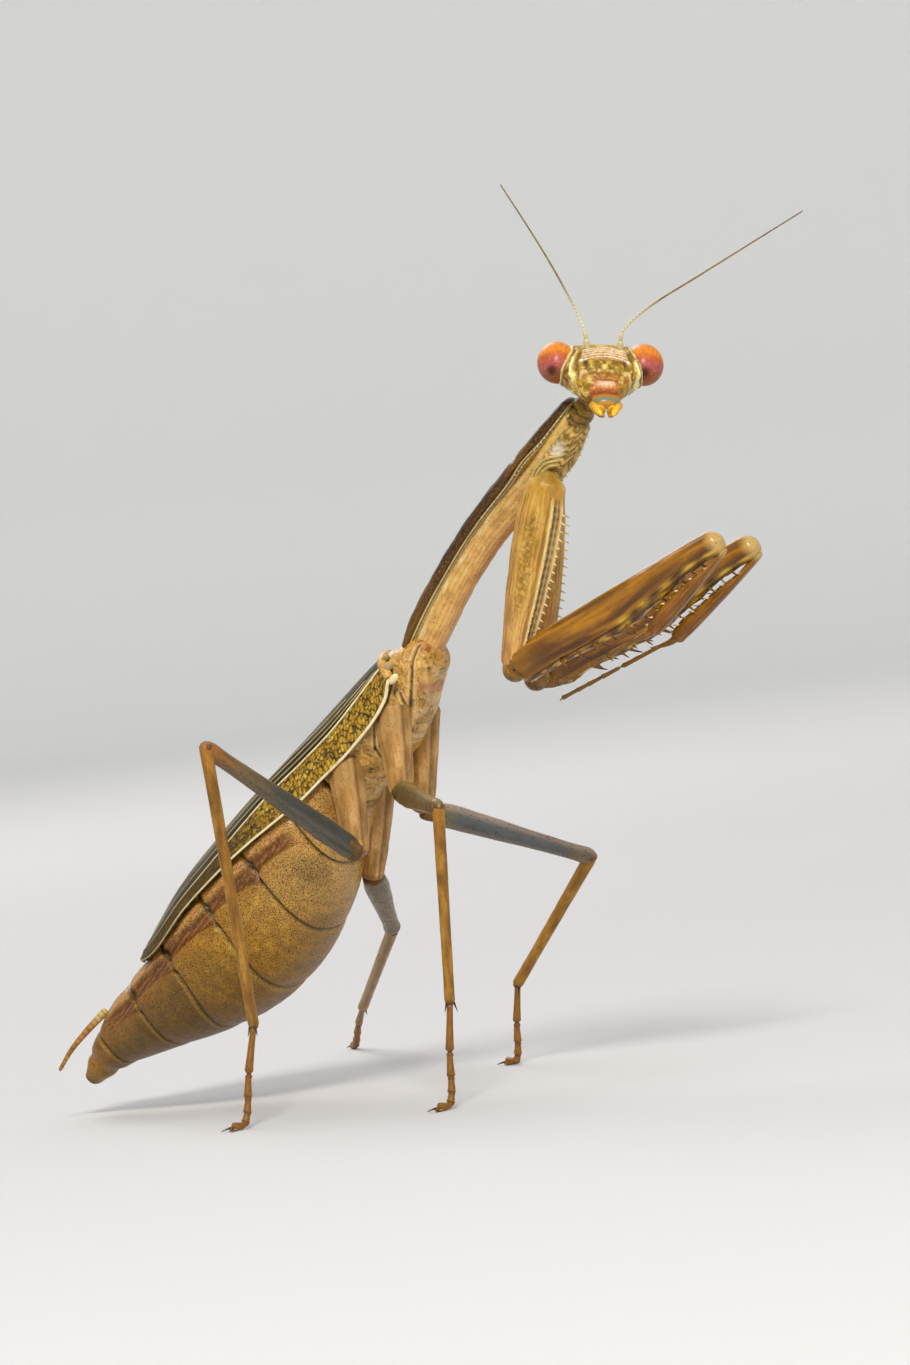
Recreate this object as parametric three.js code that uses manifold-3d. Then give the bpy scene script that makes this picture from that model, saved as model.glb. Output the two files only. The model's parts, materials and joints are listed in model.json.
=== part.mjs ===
// A life-size praying mantis, as a museum shows one: it stands still on its four walking legs with its
// forelegs folded and its head turned. Millimetres, +Z up; the animal faces +X and its left side is +Y.
// The group's origin is on the floor, under the middle of the animal.

import * as THREE from 'three';
import { mergeVertices } from 'three/addons/utils/BufferGeometryUtils.js';
import Module from 'manifold-3d';

const wasm = await Module();
wasm.setup();

const at = (x, y, z) => new THREE.Vector3(x, y, z);
const RIGHT = -1;
const LEFT = 1;
const SIDES = [[RIGHT, 'right'], [LEFT, 'left']];

// ---------------------------------------------------------------- driving dimensions
const GAP = 0.24; // clearance between touching pieces
const FEELER_RADIUS = 0.27;
const PALP_RADIUS = 0.25;
const FORE_FOOT_RADIUS = 0.28;

const HEAD_PLACE = at(14.1, -1.0, 46.5);
const HEAD_FACING = at(0.43, -0.5, 0.75); // the way the face looks
const HEAD_LEFT = at(0.83, 0.54, -0.19); // towards the animal's left eye
const CROWN = 1.6; // above the head's middle
const CHIN = -3.3;
const MOUTH_SIDE = 0.2; // the mouth is drawn a little to the animal's left
const EYE_SPREAD = 2.85; // the head's middle to the middle of an eye
const EYE_HEIGHT = 0.4;
const EYE_SIZE = at(1.3, 1.3, 1.5);

const TRUNK_PLACE = at(-4, 0, 29.7); // where the line of the back begins, behind the pronotum
const TRUNK_PITCH = THREE.MathUtils.degToRad(38.4);
const THORAX_START = -2.56; // places along the trunk are measured backwards
const THORAX_MIDDLE = 3.3;
const SEGMENT_ENDS = [9.0, 12.2, 16.4, 20.9, 26.2, 30.5, 35.0];
const TAIL_END = 38.9;
const WIDEST_LEVEL = 0.45; // share of the trunk's depth, from the top, where it is widest
const SEGMENT_SWELL = 0.12;

const WING_START = 0.4;
const WING_END = 28.2;
const WING_THICKNESS = 0.5;
const WING_ROOT_WIDTH = 2.6; // least half width of the trunk that the wings wrap
const WING_MIDLINE = 0.12;

// The walking legs' joints, from the root of the coxa to the tip of the foot on the floor.
const WALKING_LEGS = {
  mid_right: {
    root: at(-3.9, -2.0, 25.4),
    hip: at(-3.4, -3.0, 20.2),
    knee: at(4.35, -12.6, 19.4),
    ankle: at(3.9, -13.4, 6.9),
    toe: at(3.2, -15.4, 0),
  },
  mid_left: {
    root: at(-3.9, 2.0, 24.9),
    hip: at(-5.1, 2.8, 18.7),
    knee: at(2.9, 11.0, 13.9),
    ankle: at(-4.4, 12.0, 5.6),
    toe: at(-6.4, 12.9, 0),
  },
  hind_right: {
    root: at(-7.6, -2.6, 22.1),
    hip: at(-7.0, -3.5, 16.5),
    knee: at(-10.4, -16.0, 25.0),
    ankle: at(-9.6, -15.6, 6.6),
    toe: at(-10.6, -18.2, 0),
  },
  hind_left: {
    root: at(-8.2, 2.6, 20.6),
    hip: at(-9.9, 3.4, 14.5),
    knee: at(-16.0, 16.4, 9.8),
    ankle: at(-26.6, 29.8, 3.4),
    toe: at(-30.6, 34.9, 0),
  },
};
const FOOT_RADIUS = 0.35;
const FOOT_RUN = 1.1; // length of foot that lies along the floor

// The grasping legs' joints: the tip is the end of the tibia, the toe is the end of the thin foot.
const FORELEGS = {
  right: {
    root: at(10.2, -2.6, 40.2),
    hip: at(6.1, -3.1, 27.6),
    knee: at(21.9, -2.6, 34.2),
    tip: at(16.2, -2.6, 28.9),
    toe: at(9.1, -2.7, 26.3),
  },
  left: {
    root: at(7.2, 2.3, 40.0),
    hip: at(5.0, 1.9, 26.7),
    knee: at(21.3, 4.0, 33.6),
    tip: at(14.8, 3.6, 28.1),
    toe: at(6.4, 2.7, 25.1),
  },
};
const CLAW_LENGTH = 1.7;

const FEELER_ROUTES = {
  right: [
    at(13.9, -2.3, 47.8),
    at(13.8, -2.2, 49.3),
    at(12.2, -1.2, 52.1),
    at(9.8, 0.8, 55.1),
    at(5.6, 4.5, 59.6),
  ],
  left: [
    at(15.7, -1.2, 47.6),
    at(16.1, -1.1, 48.7),
    at(17.9, -0.6, 50.0),
    at(21.0, 0.8, 51.6),
    at(27.6, 4.0, 55.0),
  ],
};

const PRONOTUM_RIDGE = new THREE.CatmullRomCurve3([
  at(11.0, 0, 45.2), at(7.9, 0, 42.1), at(2.8, 0, 37.8), at(-0.9, 0, 33.6), at(-3.5, 0, 29.9),
]);
const NECK_LINE = new THREE.CatmullRomCurve3([at(9.9, 0, 42.6), at(11.6, -0.2, 44.0), at(13.3, -0.55, 45.6)]);

// ---------------------------------------------------------------- cross-sections
// Limb rows are [share of the length, dorsal depth, ventral depth, half thickness].
const COXA = [[0, 1.25, 1.25, 1.1], [0.3, 1.2, 1.2, 1.05], [0.85, 0.85, 0.85, 0.8], [1, 0.8, 0.8, 0.75]];
const FEMUR = [[0, 0.7, 0.7, 0.6], [0.12, 0.85, 0.85, 0.65], [0.8, 0.52, 0.52, 0.48], [1, 0.62, 0.62, 0.52]];
const TIBIA = [[0, 0.5, 0.5, 0.42], [0.1, 0.44, 0.44, 0.4], [0.85, 0.36, 0.36, 0.34], [1, 0.42, 0.42, 0.38]];
const FORE_COXA = [
  [0, 1.15, 1.15, 1.0],
  [0.12, 1.5, 1.5, 1.2],
  [0.3, 1.6, 1.6, 1.2],
  [0.5, 1.55, 1.5, 1.1],
  [0.7, 1.3, 1.3, 1.0],
  [0.85, 1.05, 1.05, 0.9],
  [1, 0.9, 0.9, 0.85],
];
const FORE_FEMUR = [
  [0, 0.6, 1.2, 0.7],
  [0.08, 0.95, 1.6, 0.9],
  [0.22, 1.1, 1.4, 1.1],
  [0.45, 1.1, 1.75, 1.1],
  [0.65, 1.1, 1.25, 1.0],
  [0.85, 1.1, 0.6, 0.85],
  [1, 1.0, 0.7, 0.8],
];
const FORE_TIBIA = [[0, 0.8, 0.75, 0.6], [0.2, 0.85, 0.75, 0.6], [0.8, 0.65, 0.6, 0.5], [1, 0.5, 0.5, 0.42]];

// Spine rows stand on the femur's lower edge; lean is the side that they splay to.
const OUTER_SPINES = { count: 5, from: 0.2, to: 0.5, lean: 1, length: 1.3, radius: 0.2 };
const INNER_SPINES = { count: 7, from: 0.24, to: 0.8, lean: -1, length: 1.0, radius: 0.18 };

// Head rows are [height, half width, front depth, back depth].
const SKULL = [
  [CHIN, 0.9, 0.7, 0.5],
  [-2.3, 1.7, 1.1, 1.0],
  [-1.0, 2.75, 1.4, 1.5],
  [0.4, 3.1, 1.3, 1.6],
  [1.2, 2.6, 1.0, 1.3],
  [CROWN, 1.7, 0.5, 0.7],
];

// Rows along the ridge are [share of its length, half width, height and depth from the margin].
const PRONOTUM = [
  [0, 1.2, 0.45, 0.3],
  [0.08, 1.7, 0.7, 0.35],
  [0.25, 2.25, 0.85, 0.4],
  [0.42, 1.75, 0.8, 0.4],
  [0.7, 1.6, 0.75, 0.4],
  [0.93, 1.9, 0.75, 0.4],
  [1, 1.6, 0.5, 0.3],
];
const PRONOTUM_MARGIN = 0.75; // depth of the margin below the ridge
const PROSTERNUM = [
  [0, 1.1, 0.2, 1.2],
  [0.12, 1.5, 0.2, 1.9],
  [0.25, 1.6, 0.2, 2.05],
  [0.42, 1.2, 0.2, 1.7],
  [0.7, 1.15, 0.2, 1.6],
  [0.93, 1.4, 0.2, 1.65],
  [1, 1.3, 0.2, 1.5],
];
const PROSTERNUM_MARGIN = 1.15;

// Trunk rows are [place, top, belly, half width]; top and belly are depths below the line of the back.
const TRUNK = [
  [-2.8, 0.7, 2.7, 1.4],
  [0, 0.6, 4.0, 2.3],
  [3, 0.48, 5.2, 2.8],
  [6, 0.45, 5.5, 3.0],
  [9, 0.45, 5.7, 3.4],
  [12, 0.45, 7.0, 4.2],
  [15, 0.5, 8.6, 5.0],
  [18.5, 0.6, 9.85, 5.4],
  [22, 0.8, 10.25, 5.5],
  [25, 1.25, 9.9, 5.1],
  [28, 1.85, 8.9, 4.4],
  [31, 1.9, 7.5, 3.6],
  [34, 2.1, 6.0, 2.6],
  [36.5, 2.7, 5.0, 1.7],
  [TAIL_END, 3.6, 4.5, 0.7],
];

// Wing rows are [place, angle of the inner margin, angle of the outer edge, depth of the top]: the angles
// are in degrees round the trunk and the depth is below the line of the back.
const WING = [
  [WING_START, 88, 12, -0.15],
  [2, 88, -4, -0.27],
  [6, 88, -8, -0.3],
  [9, 88, -6, -0.3],
  [12, 88, 1, -0.3],
  [15, 88, 12, -0.25],
  [18, 88, 20, -0.15],
  [22, 88, 25, 0.05],
  [26, 88, 27, 0.75],
  [27.6, 84, 38, 1.05],
  [WING_END, 76, 52, 1.2],
];

const COLOURS = {
  shell: [0xb08a5a, 0.55],
  pronotum: [0x6b4a2e, 0.5],
  eye: [0xd8763f, 0.15],
  mouth: [0xd9a02c, 0.4],
  feeler: [0x8a7452, 0.6],
  neck: [0xc79a6c, 0.5],
  belly: [0xb78f4a, 0.5],
  cercus: [0xb0783c, 0.5],
  wing: [0x8c7a34, 0.45],
  grasper: [0xb06a1e, 0.35],
  coxa: [0xc79a6c, 0.5],
  femur: [0x84808a, 0.5],
  shin: [0x9c6428, 0.5],
};

// ---------------------------------------------------------------- small mathematics
const clamp01 = (t) => Math.min(1, Math.max(0, t));
const pastEnd = (a, b, length) => b.clone().addScaledVector(b.clone().sub(a).normalize(), length);

// A number raised to a power with its sign kept: it squares up a circle's cosine and sine.
const squared = (value, power) => Math.sign(value) * Math.abs(value) ** power;

// A smooth curve through rows of [place, value, value...], read at any place.
function readRows(rows, place) {
  const last = rows.length - 1;
  let i = 0;
  while (i < last - 1 && place > rows[i + 1][0]) {
    i += 1;
  }
  const [a, b] = [rows[i], rows[i + 1]];
  const before = rows[Math.max(0, i - 1)];
  const after = rows[Math.min(last, i + 2)];
  const span = b[0] - a[0];
  const t = clamp01((place - a[0]) / span);
  const ease = t * t * (3 - 2 * t);
  return a.slice(1).map((value, k) => {
    const slopeIn = (b[k + 1] - before[k + 1]) / (b[0] - before[0]);
    const slopeOut = (after[k + 1] - a[k + 1]) / (after[0] - a[0]);
    const bend = slopeIn * (1 - t) - slopeOut * t;
    return value * (1 - ease) + b[k + 1] * ease + span * t * (1 - t) * bend;
  });
}

// ---------------------------------------------------------------- solids
function signedVolume(geometry) {
  const { index, attributes: { position } } = geometry;
  const [a, b, c] = [at(0, 0, 0), at(0, 0, 0), at(0, 0, 0)];
  let volume = 0;
  for (let i = 0; i < index.count; i += 3) {
    a.fromBufferAttribute(position, index.getX(i));
    b.fromBufferAttribute(position, index.getX(i + 1));
    c.fromBufferAttribute(position, index.getX(i + 2));
    volume += a.dot(b.cross(c)) / 6;
  }
  return volume;
}

// Turns a closed geometry into a solid with its faces pointing out.
function solidOf(geometry) {
  const bare = geometry.clone();
  bare.deleteAttribute('normal');
  bare.deleteAttribute('uv');
  const merged = mergeVertices(bare, 1e-5);
  const inward = signedVolume(merged) < 0;
  const triangles = [];
  for (let i = 0; i < merged.index.count; i += 3) {
    const [a, b, c] = [0, 1, 2].map((k) => merged.index.getX(i + k));
    if (a !== b && b !== c && c !== a) {
      triangles.push(a, ...(inward ? [c, b] : [b, c]));
    }
  }
  return new wasm.Manifold(new wasm.Mesh({
    numProp: 3,
    vertProperties: new Float32Array(merged.attributes.position.array),
    triVerts: new Uint32Array(triangles),
  }));
}

function geometryOf(solid) {
  const mesh = solid.getMesh();
  const geometry = new THREE.BufferGeometry();
  geometry.setAttribute('position', new THREE.BufferAttribute(new Float32Array(mesh.vertProperties), 3));
  geometry.setIndex(new THREE.BufferAttribute(new Uint32Array(mesh.triVerts), 1));
  return geometry;
}

// Cuts the neighbours away and keeps the largest body that is left.
function carve(solid, ...neighbours) {
  const cut = neighbours.reduce((rest, neighbour) => rest.subtract(neighbour), solid);
  return cut.decompose().reduce((best, body) => (body.volume() > best.volume() ? body : best));
}

// Moves a geometry's points by a formula.
function reshape(geometry, move) {
  const { position } = geometry.attributes;
  for (let i = 0; i < position.count; i += 1) {
    const point = move(at(position.getX(i), position.getY(i), position.getZ(i)));
    position.setXYZ(i, point.x, point.y, point.z);
  }
  return solidOf(geometry);
}

// A closed tube: place(t, angle, rim) is the point at t along it; rim is 0 in the middle of a cap.
function loft(sides, rings, place) {
  return reshape(new THREE.CylinderGeometry(1, 1, 1, sides, rings), (p) => (
    place(0.5 - p.y, Math.atan2(p.z, p.x), Math.hypot(p.x, p.z) > 0.5 ? 1 : 0)
  ));
}

// A closed ball with its poles up and down, stretched and moved by a formula.
function ball(sides, rings, place) {
  return reshape(new THREE.SphereGeometry(1, sides, rings), (p) => place(at(p.x, -p.z, p.y)));
}

// A tube along a curve; widths(t) is [half width across, half height].
function tubeAlong(curve, sides, rings, widths, across) {
  return loft(sides, rings, (t, angle, rim) => {
    const along = curve.getTangentAt(clamp01(t));
    const upright = along.clone().cross(across).normalize();
    const sideways = upright.clone().cross(along).normalize();
    const [wide, tall] = widths(t);
    return curve.getPointAt(clamp01(t))
      .addScaledVector(sideways, rim * wide * Math.cos(angle))
      .addScaledVector(upright, rim * tall * Math.sin(angle));
  });
}

// A cone from its root to its point, for spines and claws.
function spine(root, point, radius, sides = 4) {
  const along = point.clone().sub(root);
  const cone = new THREE.ConeGeometry(radius, along.length(), sides);
  cone.translate(0, along.length() / 2, 0);
  cone.applyQuaternion(new THREE.Quaternion().setFromUnitVectors(at(0, 1, 0), along.clone().normalize()));
  cone.translate(root.x, root.y, root.z);
  return solidOf(cone);
}

// A straight limb piece with rounded ends; hinge is the axis that its dorsal side is square to.
function limb(start, end, hinge, rows, { sides = 8, rings = 7, blunt = 0.45 } = {}, margin = 0) {
  const along = end.clone().sub(start);
  const direction = along.clone().normalize();
  const dorsal = hinge.clone().cross(direction).normalize();
  const across = direction.clone().cross(dorsal).normalize();
  const stretch = margin / along.length();
  return loft(sides, rings, (k, angle, rim) => {
    const t = 0.5 - 0.5 * Math.cos(Math.PI * k);
    const [above, below, thick] = readRows(rows, t);
    const round = blunt + (1 - blunt) * Math.sqrt(1 - Math.abs(2 * t - 1) ** 14);
    const upright = Math.sin(angle) > 0 ? above : below;
    return start.clone()
      .addScaledVector(along, t * (1 + 2 * stretch) - stretch)
      .addScaledVector(dorsal, rim * (upright * round + margin) * Math.sin(angle))
      .addScaledVector(across, rim * (thick * round + margin) * Math.cos(angle));
  });
}

// ---------------------------------------------------------------- the scene's groups
const mantis = new THREE.Group();
const head = new THREE.Group();
const trunk = new THREE.Group();
const limbs = new THREE.Group();
mantis.add(head, trunk, limbs);

// In the head's frame x looks out of the face, y is the animal's left and z is the crown.
const headUp = HEAD_FACING.clone().cross(HEAD_LEFT).normalize();
const headLeft = headUp.clone().cross(HEAD_FACING).normalize();
const headFront = headLeft.clone().cross(headUp).normalize();
head.quaternion.setFromRotationMatrix(new THREE.Matrix4().makeBasis(headFront, headLeft, headUp));
head.position.copy(HEAD_PLACE);
head.updateMatrix();

// In the trunk's frame x runs forwards along the back and z stands square to it.
trunk.rotation.y = -TRUNK_PITCH;
trunk.position.copy(TRUNK_PLACE);
trunk.updateMatrix();

const outOf = (group, solid) => solid.transform(group.matrix.elements);
const into = (group, solid) => solid.transform(group.matrix.clone().invert().elements);

function piece(group, name, solid, colour) {
  const [color, roughness] = COLOURS[colour];
  const material = new THREE.MeshStandardMaterial({ color, roughness, metalness: 0 });
  const mesh = new THREE.Mesh(geometryOf(solid), material);
  mesh.name = name;
  group.add(mesh);
}

// ---------------------------------------------------------------- head
function eyeBall(side, margin = 0) {
  return ball(12, 8, (p) => at(
    p.x * (EYE_SIZE.x + margin),
    side * EYE_SPREAD + p.y * (EYE_SIZE.y + margin),
    EYE_HEIGHT + p.z * (EYE_SIZE.z + margin),
  ));
}

function headCapsule() {
  const skull = loft(16, 7, (k, angle, rim) => {
    const t = 0.5 - 0.5 * Math.cos(Math.PI * k);
    const height = CHIN + (CROWN - CHIN) * t;
    const [wide, front, back] = readRows(SKULL, height);
    const deep = Math.sin(angle) > 0 ? front : back;
    return at(
      rim * deep * squared(Math.sin(angle), 0.8),
      rim * wide * squared(Math.cos(angle), 0.9),
      height,
    );
  });
  return carve(skull, eyeBall(RIGHT, GAP), eyeBall(LEFT, GAP));
}

function palp(route) {
  return tubeAlong(new THREE.CatmullRomCurve3(route), 5, 3, () => [PALP_RADIUS, PALP_RADIUS], at(1, 0, 0));
}

// The lip, the two jaws behind it and a long and a short palp on each side, in one piece.
function mouthparts() {
  const lip = ball(8, 5, (p) => at(0.15 + p.x * 0.55, MOUTH_SIDE + p.y * 0.95, CHIN - 0.6 + p.z * 0.35));
  return SIDES.reduce((whole, [side]) => {
    const jaw = ball(7, 5, (p) => (
      at(-0.3 + p.x * 0.5, MOUTH_SIDE + side * 0.6 + p.y * 0.6, CHIN - 0.6 + p.z * 0.35)
    ));
    const longPalp = palp([
      at(-0.3, MOUTH_SIDE + side * 0.75, CHIN - 0.75),
      at(0.0, MOUTH_SIDE + side * 0.95, CHIN - 1.1),
      at(0.5, MOUTH_SIDE + side * 0.55, CHIN - 1.35),
    ]);
    const shortPalp = palp([
      at(-0.55, MOUTH_SIDE + side * 0.35, CHIN - 0.85),
      at(-0.35, MOUTH_SIDE + side * 0.45, CHIN - 1.1),
      at(0.1, MOUTH_SIDE + side * 0.4, CHIN - 1.3),
    ]);
    return whole.add(jaw).add(longPalp).add(shortPalp);
  }, lip);
}

piece(head, 'head_capsule', headCapsule(), 'shell');
piece(head, 'mouthparts', mouthparts(), 'mouth');
for (const [side, word] of SIDES) {
  piece(head, `eye_${word}`, eyeBall(side), 'eye');
}

for (const [, word] of SIDES) {
  const widths = (t) => {
    const radius = Math.max(FEELER_RADIUS, 0.42 - 2.5 * t);
    return [radius, radius];
  };
  const feeler = tubeAlong(new THREE.CatmullRomCurve3(FEELER_ROUTES[word]), 6, 12, widths, at(0, 1, 0));
  piece(limbs, `antenna_${word}`, carve(feeler, outOf(head, headCapsule())), 'feeler');
}

// ---------------------------------------------------------------- pronotum, prosternum and neck
// A piece that follows the ridge of the pronotum, centred on a margin below it.
function alongRidge(rows, sides, rings, drop, from, to, margin) {
  return loft(sides, rings, (k, angle, rim) => {
    const t = from + (to - from) * k;
    const along = PRONOTUM_RIDGE.getTangentAt(t);
    const [wide, above, below] = readRows(rows, t);
    const height = (Math.sin(angle) > 0 ? above : below) + margin;
    const rise = rim * height * squared(Math.sin(angle), 0.9) - drop;
    return PRONOTUM_RIDGE.getPointAt(t)
      .addScaledVector(at(along.z, 0, -along.x), rise)
      .addScaledVector(at(0, 1, 0), rim * (wide + margin) * squared(Math.cos(angle), 0.85))
      .addScaledVector(along, (k > 0.5 ? 1 : -1) * margin);
  });
}

const pronotum = (margin = 0) => alongRidge(PRONOTUM, 12, 10, PRONOTUM_MARGIN, 0, 1, margin);
const prosternum = (margin = 0) => alongRidge(PROSTERNUM, 10, 8, PROSTERNUM_MARGIN, 0.03, 0.985, margin);
const chest = [pronotum(GAP), prosternum(GAP)];
const neck = tubeAlong(NECK_LINE, 10, 4, (t) => [1.25 - 0.25 * t, 1.1 - 0.15 * t], at(0, 1, 0));
const backOfHead = ball(12, 6, (p) => at(p.x * 1.9, p.y * 3.2, -0.5 + p.z * 3.1));

piece(limbs, 'pronotum', pronotum(), 'pronotum');
piece(limbs, 'prosternum', carve(prosternum(), pronotum(GAP)), 'shell');
piece(limbs, 'neck', carve(neck, ...chest, outOf(head, backOfHead)), 'neck');

// ---------------------------------------------------------------- trunk
// A point round the trunk at a place, off its surface by grow; the wings state their own roof and width.
function trunkPoint(place, angle, rim, grow, roof = null, leastWidth = 0) {
  const [top, belly, wide] = readRows(TRUNK, place);
  const level = top + WIDEST_LEVEL * (belly - top);
  const height = Math.sin(angle) > 0 ? level - (roof ?? top) : belly - level;
  return at(
    -place,
    rim * (Math.max(wide, leastWidth) + grow) * squared(Math.cos(angle), 0.85),
    rim * (height + grow) * squared(Math.sin(angle), 0.85) - level,
  );
}

function trunkSlice(from, to, sides, rings, swell = 0, margin = 0) {
  const [start, end] = [from - margin, to + margin];
  return loft(sides, rings, (t, angle, rim) => {
    const puff = swell * (1 - (2 * t - 1) ** 4);
    return trunkPoint(start + (end - start) * t, angle, rim, puff + margin);
  });
}

const seam = GAP / 2;
const waist = SEGMENT_ENDS[0];
const mesothorax = (margin = 0) => trunkSlice(THORAX_START, THORAX_MIDDLE - seam, 14, 5, 0, margin);
const metathorax = (margin = 0) => trunkSlice(THORAX_MIDDLE + seam, waist - seam, 14, 5, 0, margin);

function wing(side) {
  return reshape(new THREE.BoxGeometry(1, 1, 1, 13, 4, 1), (p) => {
    const place = WING_START + (WING_END - WING_START) * (p.x + 0.5);
    const [inner, outer, roof] = readRows(WING, place);
    const angle = THREE.MathUtils.degToRad(inner + (outer - inner) * (p.y + 0.5));
    const lift = p.z > 0 ? WING_THICKNESS : 0;
    const underside = roof + WING_THICKNESS + GAP;
    const point = trunkPoint(place, angle, 1, GAP + lift, underside, WING_ROOT_WIDTH);
    return at(point.x, side * Math.max(WING_MIDLINE, point.y), point.z);
  });
}

function cercus(side) {
  const route = new THREE.CatmullRomCurve3([
    at(-33.6, side * 1.5, -1.95),
    at(-35.2, side * 2.2, -2.1),
    at(-37.0, side * 2.8, -2.35),
    at(-38.7, side * 3.1, -2.8),
  ]);
  const whole = tubeAlong(route, 7, 6, (t) => [0.42 - 0.15 * t, 0.4 - 0.14 * t], at(0, 1, 0));
  return carve(whole, trunkSlice(33.5, 36.5, 16, 4, 0, GAP + 0.05));
}

// ---------------------------------------------------------------- walking legs
// A foot runs down from the ankle, turns along the floor and ends in a flat pad and two claws.
function walkingFoot(ankle, toe) {
  const forward = toe.clone().sub(ankle).setZ(0).normalize();
  const across = forward.clone().cross(at(0, 0, 1));
  const heel = toe.clone().addScaledVector(forward, -FOOT_RUN).setZ(FOOT_RADIUS + 0.1);
  const middle = ankle.clone().lerp(heel, 0.55).add(at(0, 0, 0.25));
  const tip = toe.clone().setZ(FOOT_RADIUS - 0.06);
  const route = new THREE.CatmullRomCurve3([ankle, middle, heel, tip], false, 'centripetal');
  const foot = tubeAlong(route, 6, 6, () => [FOOT_RADIUS, FOOT_RADIUS], across);
  const pad = new THREE.CylinderGeometry(0.42, 0.55, 0.42, 6);
  pad.rotateX(Math.PI / 2);
  pad.translate(toe.x, toe.y, 0.21);
  const claws = SIDES.map(([side]) => spine(
    toe.clone().setZ(0.3).addScaledVector(across, side * 0.2),
    toe.clone().setZ(0.1).addScaledVector(across, side * 0.75).addScaledVector(forward, 0.9),
    0.2,
  ));
  return [solidOf(pad), ...claws].reduce((sum, one) => sum.add(one), foot).trimByPlane([0, 0, 1], 0);
}

// Builds a walking leg and returns the space that its coxa and femur take up.
function walkingLeg(name, { root, hip, knee, ankle, toe }, thorax) {
  const hinge = knee.clone().sub(hip).cross(ankle.clone().sub(knee)).normalize();
  const coxa = (margin) => limb(root, pastEnd(root, hip, 0.35), at(0, 1, 0), COXA, {}, margin);
  const femur = (margin) => limb(hip, pastEnd(hip, knee, 0.45), hinge, FEMUR, {}, margin);
  const tibia = (margin) => limb(knee, pastEnd(knee, ankle, 0.2), hinge, TIBIA, { rings: 6 }, margin);
  piece(limbs, `coxa_${name}`, carve(coxa(0), ...thorax), 'coxa');
  piece(limbs, `femur_${name}`, carve(femur(0), coxa(GAP)), 'femur');
  piece(limbs, `tibia_${name}`, carve(tibia(0), femur(GAP)), 'shin');
  piece(limbs, `tarsus_${name}`, carve(walkingFoot(ankle, toe), tibia(GAP)), 'shin');
  return coxa(GAP).add(femur(GAP));
}

const thoraxSpace = [mesothorax(GAP), metathorax(GAP)].map((solid) => outOf(trunk, solid));
const legSpace = Object.entries(WALKING_LEGS).map(([name, leg]) => walkingLeg(name, leg, thoraxSpace));

// ---------------------------------------------------------------- trunk pieces, cut clear of the legs
piece(trunk, 'mesothorax', carve(mesothorax(), ...chest.map((solid) => into(trunk, solid))), 'shell');
piece(trunk, 'metathorax', metathorax(), 'shell');
SEGMENT_ENDS.slice(0, -1).forEach((start, index) => {
  const slice = trunkSlice(start + seam, SEGMENT_ENDS[index + 1] - seam, 18, 4, SEGMENT_SWELL);
  const besideLegs = index < 2;
  const fitted = besideLegs ? carve(slice, ...legSpace.map((solid) => into(trunk, solid))) : slice;
  piece(trunk, `abdomen_${index + 1}`, fitted, 'belly');
});
piece(trunk, 'abdomen_tail', trunkSlice(SEGMENT_ENDS.at(-1) + seam, TAIL_END, 14, 4), 'belly');
for (const [side, word] of SIDES) {
  piece(trunk, `cercus_${word}`, cercus(side), 'cercus');
  piece(trunk, `forewing_${word}`, wing(side), 'wing');
}

// ---------------------------------------------------------------- forelegs
function spineRow(start, end, hinge, { count, from, to, lean, length, radius }) {
  const along = end.clone().sub(start);
  const direction = along.clone().normalize();
  const ventral = direction.clone().cross(hinge).normalize();
  const across = direction.clone().cross(ventral).normalize();
  return Array.from({ length: count }, (_, i) => {
    const t = from + ((to - from) * i) / (count - 1);
    const reach = length * (i % 2 ? 0.65 : 1);
    const root = start.clone()
      .addScaledVector(along, t)
      .addScaledVector(ventral, readRows(FORE_FEMUR, t)[1] - 0.25)
      .addScaledVector(across, lean * 0.45);
    const point = root.clone()
      .addScaledVector(ventral, reach)
      .addScaledVector(across, lean * 0.45 * reach)
      .addScaledVector(direction, 0.2 * reach);
    return spine(root, point, radius);
  });
}

function foreleg(word, { root, hip, knee, tip, toe }) {
  const hinge = knee.clone().sub(hip).cross(tip.clone().sub(knee)).normalize();
  const topSide = hinge.clone().negate();
  const stout = { sides: 10, rings: 10, blunt: 0.5 };
  const coxa = (margin) => limb(root, pastEnd(root, hip, 0.4), hinge, FORE_COXA, { sides: 10 }, margin);
  const femur = (margin) => limb(hip, pastEnd(hip, knee, 0.35), topSide, FORE_FEMUR, stout, margin);
  const shaft = (margin) => limb(knee, tip, hinge, FORE_TIBIA, { rings: 7 }, margin);
  const claw = (margin) => (
    spine(pastEnd(knee, tip, -0.5), pastEnd(knee, tip, CLAW_LENGTH + margin), 0.36 + margin, 7)
  );
  const tibia = (margin) => shaft(margin).add(claw(margin));
  const rows = [OUTER_SPINES, INNER_SPINES].flatMap((row) => spineRow(hip, knee, topSide, row));
  const spinyFemur = rows.reduce((sum, one) => sum.add(one), femur(0));
  const footLine = new THREE.LineCurve3(pastEnd(knee, tip, -0.3), toe);
  const foot = tubeAlong(footLine, 6, 3, () => [FORE_FOOT_RADIUS, FORE_FOOT_RADIUS], at(0, 1, 0));
  piece(limbs, `coxa_fore_${word}`, carve(coxa(0), ...chest), 'coxa');
  piece(limbs, `femur_fore_${word}`, carve(spinyFemur, coxa(GAP)), 'grasper');
  piece(limbs, `tibia_fore_${word}`, carve(tibia(0), femur(GAP)), 'grasper');
  piece(limbs, `tarsus_fore_${word}`, carve(foot, tibia(GAP), femur(GAP)), 'grasper');
}

for (const [, word] of SIDES) {
  foreleg(word, FORELEGS[word]);
}

// ---------------------------------------------------------------- the origin, on the floor
mantis.updateMatrixWorld(true);
const bounds = new THREE.Box3().setFromObject(mantis, true);
const middle = bounds.getCenter(at(0, 0, 0));
mantis.position.set(-middle.x, -middle.y, 0);

export default mantis;
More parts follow.
